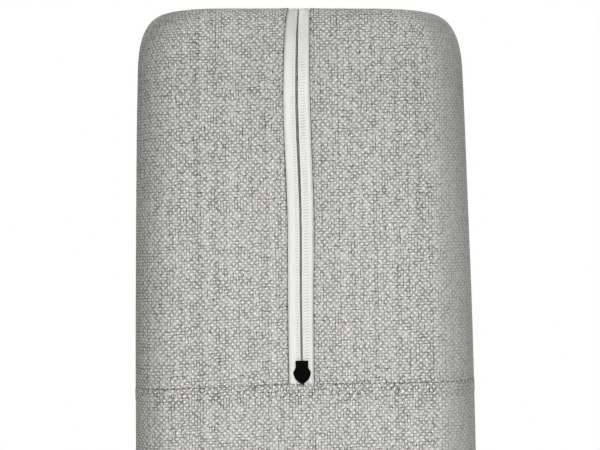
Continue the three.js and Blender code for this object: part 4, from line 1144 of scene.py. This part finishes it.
def coil_stitches(side):
    """Thread that holds the coil to the tape, a dash to every turn."""
    inward, length = (1.5, 1.5) if side > 0 else (2.3, 2.5)
    width, height = 0.5, 0.26
    places = []
    at = 2.2
    while at < ZIP_LENGTH - 0.5:
        station, split = zip_station_at(at)
        shake = hash_wave(len(places) * 23.0, len(places) * 7.0, 5.0 + side)
        x = split + side * (inward + 0.05 * shake)
        place = on_zip(station, x, TAPE_DEPTH + 0.02)
        out = Vector((0, station[3], station[4]))
        along = Vector((1, 0, 0.18 * side + 0.1 * shake))
        places.append((place, along, out, length, width, height))
        at += COIL_TURN
    return capsules(f"coil_stitches_{SIDES[side]}", places, STITCH_PALE, "zip_tape")


# ---------- Slider and pull

SLIDER_LENGTH = 9.35
SLIDER_WIDE = 3.6
SLIDER_NECK = 2.6
SLIDER_Z = 77.9
SLIDER_PLATE = 1.1


def outline_half(z):
    """Half the slider's width, from its tip at 0 to its square end."""
    shoulder, throat = SLIDER_LENGTH * 0.475, SLIDER_LENGTH * 0.69
    waist = SLIDER_NECK - 0.08
    if z <= 0:
        return 0.0
    if z < shoulder:
        return SLIDER_WIDE * (1 - (1 - z / shoulder) ** 1.75) ** (1 / 1.62)
    if z < throat:
        return SLIDER_WIDE + (waist - SLIDER_WIDE) * (z - shoulder) / (throat - shoulder)
    return SLIDER_NECK - 0.08 * (1 - (z - throat) / (SLIDER_LENGTH - throat))


def rectangle(x, z0, z1, round_=0.0, steps=4):
    if not round_:
        return [(-x, z0), (x, z0), (x, z1), (-x, z1)]
    points = []
    side, low, high = x - round_, z0 + round_, z1 - round_
    for k, (cx, cz) in enumerate([(side, low), (side, high), (-side, high), (-side, low)]):
        for i in range(steps + 1):
            angle = -pi / 2 + k * pi / 2 + i / steps * pi / 2
            points.append((cx + round_ * cos(angle), cz + round_ * sin(angle)))
    return points


def moved(outline, dx):
    return [(x + dx, z) for x, z in outline]


def slab(outline, low, high, edge, holder):
    """A plate from an outline in X and Z, from low to high along the way out, which the holder
    puts in place; its outer edges are rounded."""
    b = bmesh.new()
    inner, outer = [[b.verts.new((x, y, z)) for x, z in outline] for y in (low, high)]
    b.faces.new(inner)
    b.faces.new(outer[::-1])
    for i in range(len(outline)):
        k = (i + 1) % len(outline)
        b.faces.new((inner[i], inner[k], outer[k], outer[i]))
    bmesh.ops.recalc_face_normals(b, faces=b.faces)
    if edge:
        edges = [e for e in b.edges if min(v.co.y for v in e.verts) > (low + high) / 2]
        bmesh.ops.bevel(b, geom=edges, offset=edge, segments=3, profile=0.6, affect="EDGES")
    bmesh.ops.triangulate(b, faces=[f for f in b.faces if len(f.verts) > 4])
    b.verts.index_update()
    verts = [holder @ v.co for v in b.verts]
    faces = [[v.index for v in f.verts] for f in b.faces]
    b.free()
    return verts, faces


def merged(name, parts, body, slot):
    """One flat-shaded object from several slabs."""
    verts, faces = [], []
    for part_verts, part_faces in parts:
        base = len(verts)
        verts += part_verts
        faces += [[base + i for i in face] for face in part_faces]
    made = make(name, verts, faces, body, slot)
    made.data.shade_flat()
    return made


def slider_and_pull():
    turn = Matrix.Rotation(atan(TAPER), 4, "X")
    holder = Matrix.Translation((ZIP_X, BASE_HALF - TAPER * SLIDER_Z, SLIDER_Z)) @ turn
    top = SLIDER_PLATE
    zs = [0.0, 0.08, 0.22, 0.4, 0.65, 1.0, 1.4, 1.9, 2.5, 3.1, 3.8, 4.3, 4.45, 4.7, 5.3, 5.9, 6.3]
    zs += [6.6, 7.4, 8.2, SLIDER_LENGTH - 0.3]
    right = [(outline_half(z), z) for z in zs]
    outline = right + [(-x, z) for x, z in right[::-1] if x > 0]
    parts = [
        slab(outline, 0.02, top, 0.28, holder),  # outer plate
        slab(rectangle(2.4, 0.9, 7.7, 0.8), -2.4, -1.85, 0, holder),  # inner plate
        slab(moved(rectangle(0.13, 1.9, 7.0), 0.15), -1.9, 0.2, 0, holder),  # neck
        slab(moved(rectangle(0.45, -0.7, 0.6, 0.3), -0.35), 0.1, 0.85, 0.15, holder),  # nose
        slab(rectangle(1.45, 1.5, 4.6, 0.7, 6), top - 0.2, top + 0.42, 0.3, holder),  # crown
        slab(rectangle(0.75, 3.9, 6.1, 0.3), top - 0.2, top + 1.35, 0.3, holder),  # crown's bridge
    ]
    body = merged("zip_slider_body", parts, "slider", "black_metal")
    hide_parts("zip_slider")

    tip = SLIDER_LENGTH - 0.05
    grip = 2.6
    low, high = top + 0.25, top + 1.1
    bars = [slab(rectangle(2.55, tip - grip, tip, 0.35), low, high - 0.2, 0.12, holder)]
    for k in range(4):
        z = tip - 0.32 - k * 0.62
        ridge = rectangle(2.25, z - 0.17, z + 0.17, 0.12)
        bars.append(slab(ridge, high - 0.3, high, 0.1, holder))
    root, knee = 4.9, tip - grip + 0.3
    for side in (-1, 1):
        near, far = side * 1.15, side * 2.45
        leg = [(near, root), (far, root), (far, knee), (near, knee)]
        bars.append(slab(leg, low, high - 0.2, 0.12, holder))
    pull = merged("zip_pull_tab", bars, "pull", "black_metal")
    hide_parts("zip_pull")


sleeve = cover_sleeve()
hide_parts("cover_sleeve")
band = cover_band()
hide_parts("cover_band")
seam_stitches()
for side in (-1, 1):
    tape = zip_tape(side)
    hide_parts("zip_tape_left" if side < 0 else "zip_tape_right")
    coil = zip_coil(side)
    stitches = coil_stitches(side)
slider_and_pull()

# ---------- Controls on top, AV socket

RING_OUTER, RING_INNER, RING_LOW, RING_TOP = 40.4, 33.2, 218.8, 232.5
LIGHT_OUTER, LIGHT_INNER, LIGHT_LOW, LIGHT_TOP = 32.4, 30.2, 220.7, 231.4
PLATE_RADIUS, PLATE_LOW = 29.6, 228.6
BUTTON_X, BUTTON_RADIUS, BUTTON_FLANGE = 13.0, 5.7, 7.0
BUTTON_LOW, BUTTON_RIM, BUTTON_TOP, BUTTON_DISH = 227.2, 1.1, 231.5, 0.32
HOLLOW_RADIUS, HOLLOW_DEPTH = 9, 0.55
AV_SOCKET_X, PANEL_Z, PANEL_RECESS = 13.0, 28.0, 6.5


def cut_with(made, cutter):
    modifier = made.modifiers.new("cut", "BOOLEAN")
    modifier.operation = "DIFFERENCE"
    modifier.solver = "EXACT"
    modifier.object = cutter
    apply_modifiers(made)
    bpy.data.objects.remove(cutter)


def rods(places, low, high, segments=48):
    """Upright rods as one cutting mesh: (x, y, radius) each."""
    verts, faces = [], []
    for x, y, radius in places:
        base = len(verts)
        for z in (low, high):
            for k in range(segments):
                angle = 2 * pi * k / segments
                verts.append((x + radius * cos(angle), y + radius * sin(angle), z))
        faces += [[base + i for i in face] for face in grid_faces(2, segments, wrap=True)]
        faces.append(range(base, base + segments)[::-1])
        faces.append(range(base + segments, base + 2 * segments))
    mesh = bpy.data.meshes.new("cutter")
    mesh.from_pydata([Vector(v) * MM for v in verts], [], [tuple(face) for face in faces])
    return add_object("cutter", mesh)


def volume_ring():
    """Brushed ring with a fluted upper edge and one finger hollow, so its turn can be seen."""
    profile = [
        (RING_INNER, RING_LOW), (RING_OUTER, RING_LOW), (RING_OUTER, RING_TOP - 0.9),
        (RING_OUTER - 0.9, RING_TOP), (RING_INNER + 1.3, RING_TOP), (RING_INNER, RING_TOP - 0.8),
    ]

    def flute(angle, radius, z):
        flutes, depth = 90, 0.11
        at_edge = radius > RING_OUTER - 1.2 and z > RING_TOP - 1.6
        return -depth * (0.5 + 0.5 * cos(flutes * angle)) if at_edge else 0.0

    ring = ("ring", "aluminium")
    made = turn_profile("volume_ring_turned", rounded(profile, 0.5), *ring, 720, wobble=flute)
    r = HOLLOW_RADIUS
    ball = [(r * cos(t), r * sin(t)) for t in np.linspace(-1.4, 1.4, 40)]
    cutter = turn_profile("hollow", [(0, -r), *ball, (0, r)], *ring, 96)
    middle = (RING_OUTER + RING_INNER) / 2
    cutter.location = Vector((0, middle, RING_TOP + r - HOLLOW_DEPTH)) * MM
    cut_with(made, cutter)
    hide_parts("volume_ring")


def block(inner, outer, low, high):
    """The profile of a plain ring or disc."""
    return [(inner, low), (outer, low), (outer, high), (inner, high)]


def light_ring():
    profile = rounded(block(LIGHT_INNER, LIGHT_OUTER, LIGHT_LOW, LIGHT_TOP), 0.35)
    made = turn_profile("light_ring_moulded", profile, "root", "diffuser", 192)
    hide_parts("light_ring")


def touch_plate():
    """Glossy plate with the holes of the two buttons and six for the microphones."""
    profile = rounded(block(0, PLATE_RADIUS, PLATE_LOW, HEIGHT), 0.4)
    made = turn_profile("touch_plate_moulded", profile, "root", "gloss_black", 192)
    places = [(x, 0, BUTTON_RADIUS + 0.3) for x in (-BUTTON_X, BUTTON_X)]
    microphones, circle, hole = 6, 25, 0.7
    for i in range(microphones):
        angle = (i + 0.5) / microphones * 2 * pi
        places.append((circle * cos(angle), circle * sin(angle), hole))
    cut_with(made, rods(places, PLATE_LOW - 3, HEIGHT + 3))
    bevel(made, 0.12, 2, 50)
    apply_modifiers(made)
    level = [abs(face.normal.z) < 0.999 for face in made.data.polygons]
    made.data.polygons.foreach_set("use_smooth", level)
    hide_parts("touch_plate")


def button(name, body, x, mark):
    """A dished key with a rounded rim and a raised mark to feel for: (dx, length) of each dash."""
    profile = [
        (0, BUTTON_LOW), (BUTTON_FLANGE, BUTTON_LOW), (BUTTON_FLANGE, BUTTON_LOW + BUTTON_RIM),
        (BUTTON_RADIUS, BUTTON_LOW + BUTTON_RIM), (BUTTON_RADIUS, BUTTON_TOP),
    ]
    for t in (0.75, 0.55, 0.35, 0.15):
        profile.append((BUTTON_RADIUS * t, BUTTON_TOP - BUTTON_DISH * (1 - t * t) ** 2))
    profile.append((0, BUTTON_TOP - BUTTON_DISH))
    profile = rounded(profile, 0.35)
    made = turn_profile(f"{name}_moulded", profile, body, "dark_plastic", 96, x=x)
    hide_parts(name)
    places = []
    width, height, sunk = 0.55, 0.34, 0.30
    for dx, length in mark:
        centre = (x + dx, 0, BUTTON_TOP - sunk)
        places.append((centre, (1, 0, 0), (0, 0, 1), length, width, height))
    capsules(f"{name}_mark", places, M["diffuser"], "diffuser", body)


def socket_tongue():
    """The AV socket's insulator: a floor plate and the tongue with its contacts side by side."""
    face = BASE_HALF - TAPER * PANEL_Z - PANEL_RECESS
    holder = Matrix.Translation((AV_SOCKET_X, face, PANEL_Z))
    plate = slab(rectangle(6.9, -2.2, 2.2), -10.45, -9.6, 0, holder)
    tongue = slab(rectangle(5.6, 0.1, 1.3), -9.8, -1.2, 0.15, holder)
    merged("av_socket_tongue", [plate, tongue], "root", "black_plastic")
    contact = rectangle(0.22, 0.02, 0.2)
    rows = [moved(contact, -4.95 + 1.1 * k) for k in range(10)]
    contacts = [slab(outline, -9.0, -1.9, 0, holder) for outline in rows]
    merged("av_socket_contacts", contacts, "root", "zinc")


volume_ring()
light_ring()
touch_plate()
socket_tongue()
button("mute_button", "mute", -BUTTON_X, [(0, 3.0)])
button("action_button", "action", BUTTON_X, [(0, 0.7)])

# ---------- Edges of the other parts

EDGE_WIDTHS = {
    0.15: "av_socket",
    0.2: "heat_sink",
    0.25: "power_inlet grille_frame",
    0.3: "woofer_top_plate shield_can",
    0.35: "connector_panel tweeter_left_body tweeter_right_body "
    "radiator_left_frame radiator_right_frame",
    0.4: "base_tray top_deck woofer_basket transformer",
    0.5: "cabinet_lid cabinet_floor woofer_yoke woofer_magnet",
    0.6: "capacitor",
    0.8: "cabinet_tube",
    0.9: "rubber_foot",
}
for width, names in EDGE_WIDTHS.items():
    for node_name in names.split():
        bevel(NODES[node_name], width, 2 if width < 0.6 else 3)
for node_name in slots:
    if "screw" in node_name:
        bevel(NODES[node_name], 0.15)

# ---------- Stage, light

WORLD_LEVEL = 0.03
FLOOR_HALF = 3.0
LIGHTS = [  # name, place, aim, size, spread in degrees, power
    ("key", (-0.16, 1.40, 0.46), (0, 0, 0.09), (0.10, 0.9), 30, 0.49),
    ("fill", (0.11, 1.42, 0.40), (0, 0, 0.09), (0.10, 0.9), 30, 0.465),
    ("side", (-0.95, -1.15, 0.60), (0, 0, 0.12), (0.8, 0.8), 180, 12.0),
    ("front", (0.56, -1.36, 0.60), (0, 0, 0.12), (0.8, 0.8), 180, 11.0),
    ("top", (0, -0.1, 1.6), (0, 0, 0.2), (0.8, 0.8), 180, 4.5),
]


def backdrop_rays(tree):
    """1 for the rays that see the white backdrop: camera, glossy and transmission rays."""
    rays = add_node(tree, "LightPath").outputs
    seen = rays["Is Camera Ray"]
    for kind in ("Is Glossy Ray", "Is Transmission Ray"):
        seen = add_node(tree, "Math", seen, rays[kind], operation="MAXIMUM").outputs[0]
    return seen


def blended(tree, factor, first, second):
    return add_node(tree, "MixShader", factor, first.outputs[0], second.outputs[0]).outputs[0]


def make_floor():
    """A pale floor that fades into the white backdrop for the rays that see it."""
    s, place = on_object("floor")
    x, y, _ = s.separate(place)
    seen = backdrop_rays(s.tree)
    pale = s.mix(s.noise(place, 300), (0.70, 0.70, 0.69), (0.74, 0.74, 0.73))
    s.set(Base_Color=s.mix(seen, pale, (0.97, 0.97, 0.965)), Roughness=0.9)
    fade = s.times(s.spread(s.reach(x, y), 0.15, 0.26, 0.45, 1.0), seen)
    put(s.tree, s.output.inputs[0], blended(s.tree, fade, s.surface, s.add("Emission")))
    mesh = bpy.data.meshes.new("floor")
    corners = [(FLOOR_HALF * sx, FLOOR_HALF * sy, 0) for sx, sy in CORNER_SIGNS[::-1]]
    mesh.from_pydata(corners, [], [(0, 1, 2, 3)])
    mesh.materials.append(s.material)
    add_object("floor", mesh)


def make_world():
    """Faint light from all sides, and plain white where the backdrop is seen."""
    world = bpy.data.worlds.new("world")
    bpy.context.scene.world = world
    world.use_nodes = True
    tree = world.node_tree
    tree.nodes.clear()
    skies = [add_node(tree, "Background", (1, 1, 1), level) for level in (WORLD_LEVEL, 1.0)]
    add_node(tree, "OutputWorld", blended(tree, backdrop_rays(tree), *skies))


def make_light(name, place, aim, size, spread, power):
    data = bpy.data.lights.new(name, "AREA")
    data.shape = "RECTANGLE"
    data.size, data.size_y = size
    data.energy = power
    data.spread = radians(spread)
    light = add_object(name, data)
    light.location = place
    direction = Vector(aim) - Vector(place)
    light.rotation_euler = direction.to_track_quat("-Z", "Y").to_euler()


make_floor()
make_world()
for entry in LIGHTS:
    make_light(*entry)
bpy.context.scene.view_settings.view_transform = "Standard"
